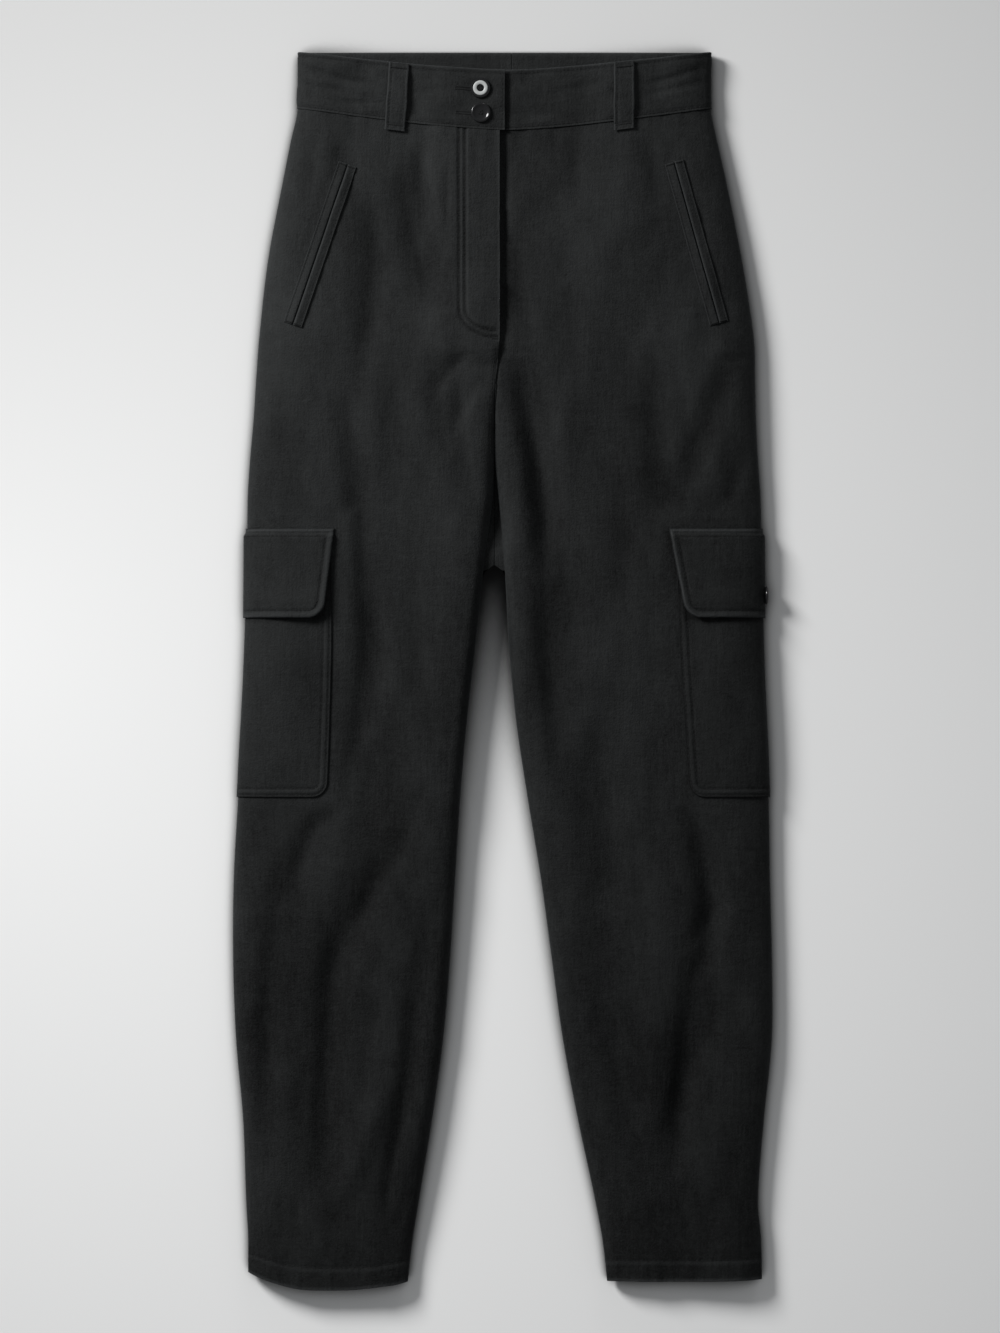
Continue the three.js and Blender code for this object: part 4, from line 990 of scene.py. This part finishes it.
def band_part(side, reach):
    """The band's points on the front, from the side fold to the fly, and its points on the back."""
    y = BAND_ROWS
    sign = TO_CENTRE[side]
    edge_columns = np.array([0, 0.4, 1, 2, 3.4, 5.4, 8])
    outer = outer_x[side](y)
    end = sign * (reach - SEAM_GAP / 2)
    width = np.abs(end - outer)
    middle = np.linspace(0, 1, 44)[1:-1]
    d = np.hstack([
        np.tile(NEAR_FOLD, (len(y), 1)),
        NEAR_FOLD[-1] + (width[:, None] - edge_columns[-1] - NEAR_FOLD[-1]) * middle,
        width[:, None] - edge_columns[::-1],
    ])
    x = outer[:, None] + sign * d
    rows = y[:, None] + np.zeros_like(x)
    z = front_height(x, rows, d, INNER_ROUND + 0 * d)
    if side == "right":
        z = z + FLY_LIFT * fade(x, *BAND_RISE_X)
    else:
        z = z - 0.9 * bell(x - 3, 5)
    points = np.stack([x, rows - waist_dip(x, rows), z], -1)
    back_points = back_grid(side, y, 9)[0].points[:, :-len(EXTENSION)]
    return points, back_points


def band(side):
    reach = BAND_OVERLAP if side == "right" else BAND_UNDERLAP
    points, back_points = band_part(side, reach)
    whole = np.concatenate([points[:, ::-1], back_points], axis=1)
    y = BAND_ROWS[:, None] + np.zeros(whole.shape[:2])
    # The place along the band is its length from the fly's end
    lengths = np.linalg.norm(np.diff(whole, axis=1), axis=2)
    u = np.hstack([np.zeros((len(BAND_ROWS), 1)), np.cumsum(lengths, axis=1)])
    base = Grid(whole, u, BAND_ROWS, side == "right")
    x = whole[..., 0]
    on_front = np.arange(whole.shape[1])[None, :] < points.shape[1]
    wrinkle = crease_height(x, y, BAND_CREASES) * 1.5 + 0.7 * noise(x / 19, y / 9, 61)
    wrinkle = wrinkle + 0.3 * noise(x / 7, y / 12, 62)
    wrinkle = np.where(on_front, wrinkle, 0.25 * np.minimum(noise(x / 16, y / 9, 63), 0))
    relief = wrinkle * fade(y, WAIST_Y, WAIST_Y + 8) * (1 - fade(y, TOP_Y - 7, TOP_Y - 1))
    low_stitches, high_stitches = BAND_STITCH_ROWS
    relief += groove(y - low_stitches, 0.45, 1.0) + groove(high_stitches - y, 0.4, 1.0)
    roll = rolled(TOP_Y - y, 1.3)
    relief += 0.25 * noise(x / 5, y / 40, 64) * bell(y - WAIST_Y - 6, 5) * on_front
    offset = BAND_STAND + relief - 0.9 * roll
    grid = base.raised(offset)
    thick = BAND_CLOTH - 0.2 - 1.6 * roll - 0.8 * rolled(y - WAIST_Y, 1.2)
    edge = 0.5 * bell(TOP_Y - y, 1.6) + 0.25 * bell(y - WAIST_Y - 0.8, 1.2)
    # Painted shade: the band is darker along its rows of stitches
    edge = edge - 0.6 * bell(y - low_stitches - 0.2, 0.9) - 0.4 * bell(high_stitches - y, 0.8)
    # The band is painted darker all over, which takes back part of the painted light that is palest
    # towards the top
    tone = edge - 0.14
    if side == "right":
        # Paler worn end at the fly, and painted shade where the right band rises beside the fly
        tone = tone + 0.5 * bell(u, 1.2) - 0.3 * bell(x + 52, 18) * on_front
    threads = Threads(f"thread_band_{side}")
    start = 3.0 if side == "right" else BAND_UNDERLAP + 4
    us = np.linspace(start, np.max(u) - 3, 260)
    for row in BAND_STITCH_ROWS:
        threads.run(grid, us, np.full(len(us), row))
    if side == "right":
        rows = np.linspace(WAIST_Y + 4, TOP_Y - 4, 30)
        threads.run(grid, np.full(30, 2.6), rows)
        for x_mid, plan in BUTTONS.values():
            buttonhole(threads, grid, x_mid - 13.5, plan)
    sewn = threads.finish(thread_black)
    cloth(
        f"cloth_waistband_{side}", grid, thick, twill, [f"front_{side}", f"back_{side}"],
        node=f"waistband_{side}", with_pieces=[sewn], tone=tone,
    )


HOLE_LENGTH = 15


def buttonhole(threads, grid, x, plan_y):
    """Satin stitches round a slit, along the band."""
    row = float(row_of(x, plan_y))
    u = BAND_OVERLAP - x
    for edge in (-0.95, 0.95):
        threads.bar(grid, u - HOLE_LENGTH / 2, row + edge, u + HOLE_LENGTH / 2, row + edge, 1.3, 0.4)
    for end in (-1, 1):
        at = u + end * HOLE_LENGTH / 2
        threads.bar(grid, at, row - 1.5, at, row + 1.5, 1.2, 0.4)


# Belt loops

def belt_loop(name):
    face, top, bottom = LOOPS[name]
    front_side = face == "front"
    low = WAIST_Y - LOOP_TAIL
    v = np.concatenate([
        [low, low + 0.3], spaced(low + 0.9, WAIST_Y + 4, 0.9), spaced(WAIST_Y + 4, TOP_Y - 3, 2),
        TOP_Y - np.array([3, 2, 1.2, 0.8, 0.6]),
    ])
    half = np.array([1.2, 3, 4.6, 5.6, 6.4, 7.2, 7.9, 8.3, 8.5])
    across = np.concatenate([-half[::-1], half])
    t = ((v - low) / (TOP_Y - low))[:, None]
    x = bottom + (top - bottom) * t + across * (1 + 0.03 * noise(v[:, None] / 9, 0.3, 81))
    rows = v[:, None] + np.zeros_like(x)
    side = "right" if bottom < 0 else "left"
    if front_side:
        points = np.stack([x, rows - waist_dip(x, rows), open_front_height(side, x, rows)], -1)
    else:
        points = np.stack([x, rows, waist_lift(rows)], -1)
    base = Grid(points, np.tile(across, (len(v), 1)), v, not front_side)
    heights = [row[0] + WAIST_Y for row in LOOP_STAND]
    stand = np.interp(v, heights, [row[1 if front_side else 2] for row in LOOP_STAND])[:, None]
    beside = np.abs(across)
    relief = 0.3 * bell(beside - 7.3, 0.8) + groove(beside - LOOP_STITCH_X, 0.25, 0.7)
    relief = relief + 0.18 * noise(rows / 6, x / 9, 82) - 0.25 * rolled(half[-1] - beside, 0.8)
    low_tack, high_tack = LOOP_TACK_ROWS
    relief += groove(v - low_tack, 0.45, 0.8)[:, None] + groove(high_tack - v, 0.4, 0.8)[:, None]
    if front_side:
        relief += 0.5 * (1 - fade(v, WAIST_Y - 3.6, WAIST_Y - 2.8))[:, None]
        offset = stand + LOOP_CLOTH + relief
    else:
        # A loop beneath stays in the room that the back is lifted by
        offset = np.minimum(stand + LOOP_CLOTH + np.minimum(relief, 0.25), waist_lift(rows) - 0.05)
    grid = base.raised(offset)
    tone = 0.55 * bell(np.abs(grid.u) - 8.1, 0.7) + 0.4 * bell(v - low - 0.4, 0.9)[:, None]
    threads = Threads(f"thread_{name}")
    for a in (-LOOP_STITCH_X, LOOP_STITCH_X):
        threads.run(grid, np.full(40, a), np.linspace(WAIST_Y - 6, TOP_Y - 5, 40), 2.4, 0.7)
    for row in LOOP_TACK_ROWS:
        threads.bar(grid, -6.6, row, 6.6, row, 1.5)
    sewn = threads.finish(thread_black)
    cloth(
        f"cloth_{name}", grid, LOOP_CLOTH - 0.1, twill, [f"waistband_{side}"],
        node=name, with_pieces=[sewn], tone=tone,
    )


# Slanted pockets: two lips each

def welts(side):
    x0, y0, ux, uy, length = welt_frame(side)
    for lip, towards in (("front", TO_CENTRE[side]), ("side", -TO_CENTRE[side])):
        near_end = np.array([length - 1.8, length - 0.9, length - 0.3, length])
        up_slit = np.concatenate([[0, 0.3, 0.9], spaced(1.8, length - 1.8, 2.2), near_end])
        from_edge = np.array([0, 0.15, 0.5, 1.1, 2, 3.2, 4.6, 5.4, 6, 6.6, 7.1, 7.45, WELT_WIDTH])
        across = np.sort((from_edge + SLIT / 2) * towards)
        a, b = np.meshgrid(across, up_slit)
        x = x0 + ux * b + uy * a
        y = y0 + uy * b - ux * a
        z = open_front_height(side, x, row_of(x, y))
        from_slit = np.abs(a) - SLIT / 2
        from_end = np.minimum(b, length - b)
        relief = 0.55 * bell(from_slit - 1.6, 1.8) - 0.5 * rolled(from_slit, 1.0)
        relief += groove(from_slit - WELT_STITCH, 0.4, 0.8) - 0.5 * rolled(WELT_WIDTH - from_slit, 0.7)
        relief += 0.22 * noise(b / 7, a / 9, 83 + (lip == "side")) - 0.5 * rolled(from_end, 1.2)
        base = Grid(np.stack([x, y, z], -1), a, up_slit)
        grid = base.raised(0.25 + WELT_CLOTH + relief)
        tone = 0.7 * bell(from_slit - 0.5, 0.8) + 0.4 * bell(WELT_WIDTH - from_slit, 0.7)
        threads = Threads(f"thread_welt_{side}_{lip}")
        stitch = (SLIT / 2 + WELT_STITCH) * towards
        threads.run(grid, np.full(60, stitch), np.linspace(1.5, length - 1.5, 60), 2.6, 0.7)
        for place in (1.4, length - 1.4):
            threads.bar(grid, (SLIT / 2 + 0.8) * towards, place, stitch, place, 1.2)
        sewn = threads.finish(thread_black)
        cloth(
            f"cloth_welt_{side}_{lip}", grid, WELT_CLOTH, patch_twill, [f"front_{side}"],
            node=f"welt_{side}_{lip}", with_pieces=[sewn], tone=tone,
        )


# Cargo pockets, wrapped round the side seams

RING_STEPS = 180


def ring_points(side, s, y):
    """Points of a leg's ring at lengths s along the cloth from the side seam, for each row y."""
    k = RING_REACH * 1.3 * (np.arange(RING_STEPS + 1) / RING_STEPS) ** 2.2
    d = np.tile(k, (len(y), 1))
    rows = y[:, None] + np.zeros_like(d)
    x = outer_x[side](rows) + TO_CENTRE[side] * d
    far = RING_REACH + 0 * d
    heights = {1: front_height(x, rows, d, far), -1: back_height(side, x, rows, d, far)}
    out = np.zeros((*s.shape, 3))
    for part, z in heights.items():
        lengths = np.hypot(np.diff(d, axis=1), np.diff(z, axis=1))
        walked = np.hstack([np.zeros((len(y), 1)), np.cumsum(lengths, axis=1)])
        for j in range(len(y)):
            mine = s[j] * part >= 0
            reach = np.abs(s[j, mine])
            out[j, mine, 0] = outer_x[side](y[j]) + TO_CENTRE[side] * np.interp(reach, walked[j], d[j])
            out[j, mine, 2] = np.interp(reach, walked[j], z[j])
    out[..., 1] = y[:, None]
    return out


def corner(above):
    """How much a rounded lower corner takes off a pocket's edge at a height above its low side."""
    return POCKET_CORNER * rolled(above, POCKET_CORNER)


FROM_EDGE = np.array([0, 0.25, 0.7, 1.3, 2, 2.8, 3.7, 4.8, 5.8, 6.6, 7.4, 8.3, 9.6, 11.5, 14])
ROUND_SEAM = np.array([0, 0.8, 1.8, 3, 4.5, 6.4, 8.8, 12, 16, 21, 26, 31])


def pocket_grid(side, front_edge, back_edge, rows):
    """Ring points between two edges, with columns that follow the edges."""
    def half(edge):
        far = edge[:, None] - FROM_EDGE[::-1]
        start = ROUND_SEAM[-1]
        t = np.linspace(0, 1, 10)[1:-1]
        near = np.tile(ROUND_SEAM, (len(rows), 1))
        return np.hstack([near, start + (far[:, :1] - start) * t, far])

    to_front, to_back = half(front_edge), half(back_edge)
    s = np.hstack([-to_back[:, :0:-1], to_front])
    return Grid(ring_points(side, s, rows), s, rows, side == "left"), s


def inside_distance(s, y, low, front, back_reach):
    """Distance in from the sides and the rounded lower corners of a pocket piece."""
    edge = np.where(s > 0, front, back_reach)
    from_side = edge - np.abs(s)
    centre = edge - POCKET_CORNER
    in_corner = (np.abs(s) > centre) & (y < low + POCKET_CORNER)
    round_off = POCKET_CORNER - np.hypot(np.abs(s) - centre, y - low - POCKET_CORNER)
    return np.where(in_corner, round_off, np.minimum(from_side, y - low))


def outline_path(low, high, front, back_reach, inset, top_gap):
    """Stitching line inside a pocket piece: down the front, along the bottom and up the back."""
    r = POCKET_CORNER - inset
    turn = np.linspace(0, math.pi / 2, 10)
    down = np.linspace(high - top_gap, low + POCKET_CORNER, 60)
    f = np.interp(down, [low, high], front)
    cx = front[0] - POCKET_CORNER
    us = list(f - inset) + list(cx + r * np.cos(turn))
    vs = list(down) + list(low + POCKET_CORNER - r * np.sin(turn))
    bottom = np.linspace(cx, -(back_reach - POCKET_CORNER), 60)
    us += list(bottom[1:])
    vs += [low + inset] * 59
    us += list(-(back_reach - POCKET_CORNER) - r * np.sin(turn[1:]))
    vs += list(low + POCKET_CORNER - r * np.cos(turn[1:]))
    up = np.linspace(low + POCKET_CORNER, high - top_gap, 60)[1:]
    us += [-(back_reach - inset)] * 59
    vs += list(up)
    return np.array(us), np.array(vs)


BAG_STITCHES = (1.9, 7.3)
# How far beside a flap its shade reaches: the light comes from the wearer's right
FLAP_SHADE = {"right": 6, "left": 3}
FLAP_STITCH = 6.4


def flap_edge(side, y):
    """Place of a flap's front edge along the cloth from the side seam."""
    return np.interp(y, [FLAP_LOW_Y, FLAP_HIGH_Y], [POCKET[side][3], POCKET[side][2]])


def corner_rows(low):
    """Rows that are close together at a pocket's rounded lower corners."""
    return low + np.array([0, 0.25, 0.7, 1.3, 2, 2.8, 3.8, 5, 6.2, 7.2, 8.2, 9.6, 11.2, POCKET_CORNER])


def cargo_bag(side):
    top, bottom = POCKET[side][:2]
    middle_rows = spaced(BAG_LOW_Y + POCKET_CORNER, BAG_HIGH_Y, 4)[1:]
    rows = np.concatenate([corner_rows(BAG_LOW_Y), middle_rows, [BAG_HIGH_Y]])
    front = np.interp(rows, [BAG_LOW_Y, BAG_HIGH_Y], [bottom, top])
    cut = corner(rows - BAG_LOW_Y)
    base, s = pocket_grid(side, front - cut, POCKET_BACK - cut, rows)
    y = rows[:, None] + np.zeros_like(s)
    inside = inside_distance(s, y, BAG_LOW_Y, front[:, None], POCKET_BACK)
    on_front = fade(s, -4, 8)
    relief = 0.35 * bell(inside - 4.6, 1.8) - 0.5 * rolled(inside, 0.8)
    for stitch in BAG_STITCHES:
        relief += groove(inside - stitch, 0.42, 0.8)
    relief += 0.22 * noise(s / 7, y / 7, 91) * bell(inside - 9, 5)
    slack = 0.5 * noise(s / 34, y / 48, 92) + 0.22 * noise(s / 12, y / 22, 93) + 0.35
    relief += slack * fade(inside, 8, 26)
    relief += 0.9 * on_front * fade(inside, 6, 40) * (1 - fade(y, 540, 566))
    grid = base.raised(PATCH_GAP + PATCH_RAISE + np.where(s > 0, relief * on_front, 0))
    tone = 0.5 * bell(inside - 1.6, 0.8) + 0.14 * bell(inside - 4.6, 1.5)
    # Painted shadow: the bag is darker at its very edge, where it stands off the front
    tone -= 1.3 * bell(inside, 0.95)
    # The flap keeps the light from the bag close beside and below it
    beside, below = np.maximum(s - flap_edge(side, y), 0), np.maximum(FLAP_LOW_Y - y, 0)
    tone -= 0.8 * bell(beside, FLAP_SHADE[side]) * bell(below, 2.2) * (s > 0)
    # Painted shade: the bag is darker along its rows of stitches
    for stitch in BAG_STITCHES:
        tone -= 0.6 * bell(inside - stitch - 0.2, 0.7)
    threads = Threads(f"thread_bag_{side}")
    for stitch in BAG_STITCHES:
        us, vs = outline_path(BAG_LOW_Y, BAG_HIGH_Y, (bottom, top), POCKET_BACK, stitch, 4)
        threads.run(grid, us, vs)
    sewn = threads.finish(thread_black)
    cloth(
        f"cloth_cargo_bag_{side}", grid, PATCH_SHELL, patch_twill, [f"front_{side}", f"back_{side}"],
        node=f"cargo_bag_{side}", with_pieces=[sewn], tone=tone,
    )


def cargo_flap(side):
    top, bottom = POCKET[side][2:]
    back_reach = POCKET_BACK + FLAP_PAST_BAG
    rows = np.concatenate([
        corner_rows(FLAP_LOW_Y), spaced(FLAP_LOW_Y + POCKET_CORNER, 630, 3.2)[1:],
        spaced(630, 640.2, 0.9), [640.2, 640.6, 640.85, FLAP_HIGH_Y],
    ])
    front = flap_edge(side, rows)
    cut = corner(rows - FLAP_LOW_Y)
    base, s = pocket_grid(side, front - cut, back_reach - cut, rows)
    y = rows[:, None] + np.zeros_like(s)
    inside = inside_distance(s, y, FLAP_LOW_Y, front[:, None], back_reach)
    nearest = np.minimum(inside, FLAP_HIGH_Y - y)
    on_front = fade(s, 0, 14)
    rim = 0.75 * bell(nearest - 2.3, 1.7) + groove(nearest - FLAP_STITCH, 0.5, 0.9)
    relief = rim - 0.8 * rolled(nearest, 1.1) + 0.2 * noise(s / 8, y / 8, 95) * bell(nearest - 9, 4)
    slack = 0.55 * noise(s / 30, y / 22, 96) + 0.2 * noise(s / 10, y / 12, 97) + 0.5
    relief += slack * fade(nearest, 7, 20)
    stand = FLAP_STAND * (1 - fade(y, FLAP_LOW_Y, FLAP_LOW_Y + 46)) * fade(s, 4, 46)
    stand += 1.1 * fade(s, 40, 72) * (1 - fade(y, 600, 632))
    over_bag = 2 * PATCH_GAP + PATCH_CLOTH + 0.3
    over = over_bag + (PATCH_GAP - over_bag) * fade(y, BAG_HIGH_Y + 0.4, BAG_HIGH_Y + 3.6)
    over = np.where(s > 0, over, np.minimum(over, 1.75))
    relief = np.where(s > 0, relief * on_front, 0)
    grid = base.raised(over + PATCH_RAISE + relief + stand)
    tone = 0.85 * bell(nearest - 1.2, 1.0) + 0.3 * bell(nearest - 3, 1.6)
    # Painted shade: the flap is darker at its very edge and along its row of stitches
    tone -= 1.2 * bell(nearest, 0.55)
    tone = tone - 0.7 * bell(nearest - FLAP_STITCH, 0.8)
    threads = Threads(f"thread_flap_{side}")
    stitch_row = FLAP_HIGH_Y - FLAP_STITCH
    us, vs = outline_path(FLAP_LOW_Y, FLAP_HIGH_Y, (bottom, top), back_reach, FLAP_STITCH, FLAP_STITCH)
    threads.run(grid, us, vs)
    us = np.linspace(-(back_reach - FLAP_STITCH), flap_edge(side, stitch_row) - FLAP_STITCH, 90)
    threads.run(grid, us, np.full(90, stitch_row))
    sewn = threads.finish(thread_black)
    cloth(
        f"cloth_cargo_flap_{side}", grid, PATCH_SHELL, patch_twill, [f"cargo_bag_{side}", f"front_{side}"],
        node=f"cargo_flap_{side}", with_pieces=[sewn], tone=tone,
    )


# Buttons

BUTTON_TURNS = 64
HOLE_RADIUS = 0.75
HOLE_RING_SHARE = 0.19
# Painted reflection: the pale ring of the upper waist button, in from its rim, stands in for the lamp's
# reflection in the black dish
PALE_RING = (5.6, 2.4)


def turned(profile):
    """Points and faces of a closed turned body, from (radius, height) pairs that end on the axis."""
    rings = profile[1:-1]
    angles = 2 * math.pi * np.arange(BUTTON_TURNS) / BUTTON_TURNS
    points = [(0, 0, profile[0][1])]
    for r, z in rings:
        points += [(r * math.cos(a), r * math.sin(a), z) for a in angles]
    points.append((0, 0, profile[-1][1]))
    n = BUTTON_TURNS
    faces = [(0, 1 + (k + 1) % n, 1 + k) for k in range(n)]
    for ring in range(len(rings) - 1):
        a = 1 + ring * n
        faces += [(a + k, a + (k + 1) % n, a + n + (k + 1) % n, a + n + k) for k in range(n)]
    last = 1 + (len(rings) - 1) * n
    faces += [(last + k, last + (k + 1) % n, len(points) - 1) for k in range(n)]
    return points, faces


def button(name, material, reflection_material=None):
    """A dished four-hole button over its node, with crossed thread in the holes."""
    low, high = (np.array(v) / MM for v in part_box(name))
    size = high - low
    axis = int(np.argmin(size))
    radius, height = max(size) / 2, min(size)
    profile = [
        (0, 0), (radius - 1.2, 0), (radius - 0.4, 0.25), (radius, 0.9), (radius - 0.1, height - 1.3),
        (radius - 0.5, height - 0.75), (radius - 1.3, height - 0.6), (radius - 2.3, height - 0.62),
        (radius - 2.5, height - 0.2), (radius - 2.8, height - 0.02), (radius - 3.7, height),
        (radius - 4.8, height - 0.1), (radius - 5.4, height - 0.35), (radius - 5.8, height * 0.66),
        (1.2, height * 0.6), (0, height * 0.6),
    ]
    if reflection_material is None:
        profile = [
            (0, 0), (radius - 1.2, 0), (radius - 0.4, 0.25), (radius, 0.9), (radius - 0.1, height - 0.9),
            (radius - 0.6, height - 0.25), (radius - 1.3, height), (radius - 2.1, height - 0.15),
            (radius - 2.7, height - 0.6), (radius - 3.6, height * 0.68), (radius - 4.8, height * 0.6),
            (1.2, height * 0.56), (0, height * 0.56),
        ]
    mesh = bpy.data.meshes.new(name)
    points, faces = turned(profile)
    mesh.from_pydata(points, [], faces)
    disc = placed(name, mesh)
    cutter_mesh = bpy.data.meshes.new("holes")
    work = bmesh.new()
    hole_ring = radius * HOLE_RING_SHARE
    for k in range(4):
        angle = math.pi / 2 * (k + 0.5)
        at = Matrix.Translation((hole_ring * math.cos(angle), hole_ring * math.sin(angle), height / 2))
        bmesh.ops.create_cone(
            work, cap_ends=True, segments=20, radius1=HOLE_RADIUS, radius2=HOLE_RADIUS,
            depth=height * 3, matrix=at,
        )
    work.to_mesh(cutter_mesh)
    work.free()
    cutter = placed("holes", cutter_mesh)
    cut = disc.modifiers.new("holes", "BOOLEAN")
    cut.operation, cut.object, cut.solver = "DIFFERENCE", cutter, "EXACT"
    bpy.context.view_layer.update()
    shaped = bpy.data.meshes.new_from_object(disc.evaluated_get(bpy.context.evaluated_depsgraph_get()))
    bpy.data.objects.remove(cutter)
    bpy.data.objects.remove(disc)
    shaped.materials.clear()
    shaped.materials.append(material)
    if reflection_material is not None:
        shaped.materials.append(reflection_material)
        for face in shaped.polygons:
            from_rim = radius - math.hypot(face.center.x, face.center.y)
            on_ring = PALE_RING[1] < from_rim < PALE_RING[0] and face.center.z > height - 0.5
            face.material_index = int(on_ring)
    turn = {0: Matrix.Rotation(math.pi / 2, 4, "Y"), 2: Matrix.Identity(4)}[axis]
    if name == "button_cargo_right":
        turn = Matrix.Rotation(math.pi, 4, "X")
    toward = turn.to_3x3() @ Vector((0, 0, 1))
    base = Vector((low + high) / 2) - toward * (height / 2)
    shaped.transform(Matrix.Scale(MM, 4) @ Matrix.Translation(base) @ turn)
    shaped.polygons.foreach_set("use_smooth", [True] * len(shaped.polygons))
    piece = placed(f"disc_{name}", shaped)
    piece.modifiers.new("sharp", "EDGE_SPLIT").split_angle = math.radians(40)
    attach(piece, "root")
    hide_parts(name)
    cross = Threads(f"thread_{name}")
    for along in (Vector((1, 0, 0)), Vector((0, 1, 0))):
        across = Vector((-along.y, along.x, 0))
        direction = np.array(turn.to_3x3() @ along)
        for sign in (-1, 1):
            for strand in (-0.28, 0.0, 0.28):
                spot = Vector((0, 0, height * 0.62)) + across * (hole_ring * 0.72 * sign + strand)
                middle = np.array(base + turn.to_3x3() @ spot) - SHIFT
                cross.add(middle, direction, np.array(toward), hole_ring * 1.9, 0.38)
    cross.finish(thread_black)


# What is built

def undressed(name, material):
    """A node whose own shape is right keeps it and gets its material."""
    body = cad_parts[name]
    body.data.materials.clear()
    body.data.materials.append(material)


# Lamps: distance, elevation and azimuth, then size and power
LAMPS = {"key": ((3, 29, 142), 1.02, 137), "fill": ((8, 14, 75), 2.6, 60)}
FLOOR_HALF = 9
FLOOR_Z = -0.0002
# Painted light: the floor is painted palest beside the right leg's middle and darkens evenly up to a
# distance from there, a pool of light
PALEST = (-0.465, 0.026)
PALE_REACH = 2.2
# Share of the floor's light that comes from the key lamp
KEY_SHARE = 0.71
# The photograph's frame: its pixels, the size of one in mm, and the middle of the view
PIXELS_HIGH = 1333
PIXEL = 0.841
VIEW_MIDDLE_Y = 525.2
CAMERA_HEIGHT = 5.0
# Height over the floor at which a pixel has that size
SCALE_HEIGHT = 0.01


def lamp_place(distance, elevation, azimuth):
    up, turn = math.radians(elevation), math.radians(azimuth)
    flat = distance * math.cos(up)
    return flat * math.cos(turn), flat * math.sin(turn), distance * math.sin(up)


def floor_material():
    """Pale matte paint, graded as the photograph's backdrop is."""
    material, tree, shader, place = new_material("pale_floor")
    mapping = node(tree, "ShaderNodeMapping")
    mapping.inputs["Location"].default_value = (-PALEST[0] / PALE_REACH, -PALEST[1] / PALE_REACH, 0)
    mapping.inputs["Scale"].default_value = (1 / PALE_REACH, 1 / PALE_REACH, 0)
    link(tree, place, mapping.inputs["Vector"])
    # Painted light: a pool of light, palest at one place and darker with distance from it
    ball = node(tree, "ShaderNodeTexGradient", gradient_type="SPHERICAL")
    link(tree, mapping.outputs["Vector"], ball.inputs["Vector"])
    ramp = node(tree, "ShaderNodeValToRGB")
    ramp.color_ramp.elements[0].color = (0.1, 0.1, 0.1, 1)
    ramp.color_ramp.elements[1].color = (0.91, 0.91, 0.905, 1)
    link(tree, ball.outputs["Fac"], ramp.inputs["Fac"])
    # The paint evens out the key lamp, which lies nearer to the top left
    key = LAMPS["key"][0]
    away = node(tree, "ShaderNodeVectorMath", operation="DISTANCE")
    link(tree, place, away.inputs[0])
    away.inputs[1].default_value = lamp_place(*key)
    share = math_node(tree, "POWER", math_node(tree, "DIVIDE", key[0], away.outputs["Value"]), 3.0)
    light = math_node(tree, "ADD", math_node(tree, "MULTIPLY", share, KEY_SHARE), 1 - KEY_SHARE)
    # Where the garment closes over the floor, next to nothing of the room's light gets in
    nook = node(tree, "ShaderNodeAmbientOcclusion", samples=20, Distance=0.05)
    closed = node(tree, "ShaderNodeMapRange")
    for socket, value in zip(closed.inputs[1:5], (0.44, 0.8, 0.05, 1.0)):
        socket.default_value = value
    link(tree, nook.outputs["AO"], closed.inputs["Value"])
    paint = node(tree, "ShaderNodeVectorMath", operation="SCALE")
    link(tree, ramp.outputs["Color"], paint.inputs[0])
    link(tree, math_node(tree, "DIVIDE", closed.outputs["Result"], light), paint.inputs["Scale"])
    link(tree, paint.outputs["Vector"], shader.inputs["Base Color"])
    shader.inputs["Roughness"].default_value = 0.9
    shader.inputs["Specular IOR Level"].default_value = 0.05
    return material


def floor():
    mesh = bpy.data.meshes.new("floor")
    corners = [(x * FLOOR_HALF, y * FLOOR_HALF, FLOOR_Z) for x, y in ((-1, -1), (1, -1), (1, 1), (-1, 1))]
    mesh.from_pydata(corners, [], [(0, 1, 2, 3)])
    mesh.materials.append(floor_material())
    placed("floor", mesh)


def lights():
    """Soft key light from the upper left, a low fill from the top, and weak light from all round."""
    for name, (place, size, power) in LAMPS.items():
        data = bpy.data.lights.new(name, "AREA")
        data.shape, data.size, data.energy = "DISK", size, power
        lamp = placed(name, data)
        lamp.location = lamp_place(*place)
        lamp.rotation_euler = (-lamp.location).to_track_quat("-Z", "Y").to_euler()
    world = bpy.data.worlds.new("soft")
    world.use_nodes = True
    background = world.node_tree.nodes["Background"]
    background.inputs["Color"].default_value = (0.96, 0.98, 1.0, 1)
    background.inputs["Strength"].default_value = 0.27
    bpy.context.scene.world = world
    bpy.context.scene.view_settings.view_transform = "Standard"


def camera():
    """Straight above, with the photograph's frame."""
    data = bpy.data.cameras.new("camera")
    data.sensor_width = 36
    data.lens = data.sensor_width * (CAMERA_HEIGHT - SCALE_HEIGHT) / (PIXELS_HIGH * PIXEL * MM)
    data.clip_end = 50
    eye = placed("camera", data)
    eye.location = (SHIFT[0] * MM, (VIEW_MIDDLE_Y + SHIFT[1]) * MM, CAMERA_HEIGHT)
    bpy.context.scene.camera = eye


floor()
lights()
camera()
for side in SIDES:
    back(side)
    front(side)
    welts(side)
    cargo_bag(side)
    cargo_flap(side)
    band(side)
for name in LOOPS:
    belt_loop(name)
button("button_waist_upper", button_black, button_painted_reflection)
for name in ("button_waist_lower", "button_cargo_right", "button_cargo_left"):
    button(name, button_black)
undressed("fly_zip", twill)
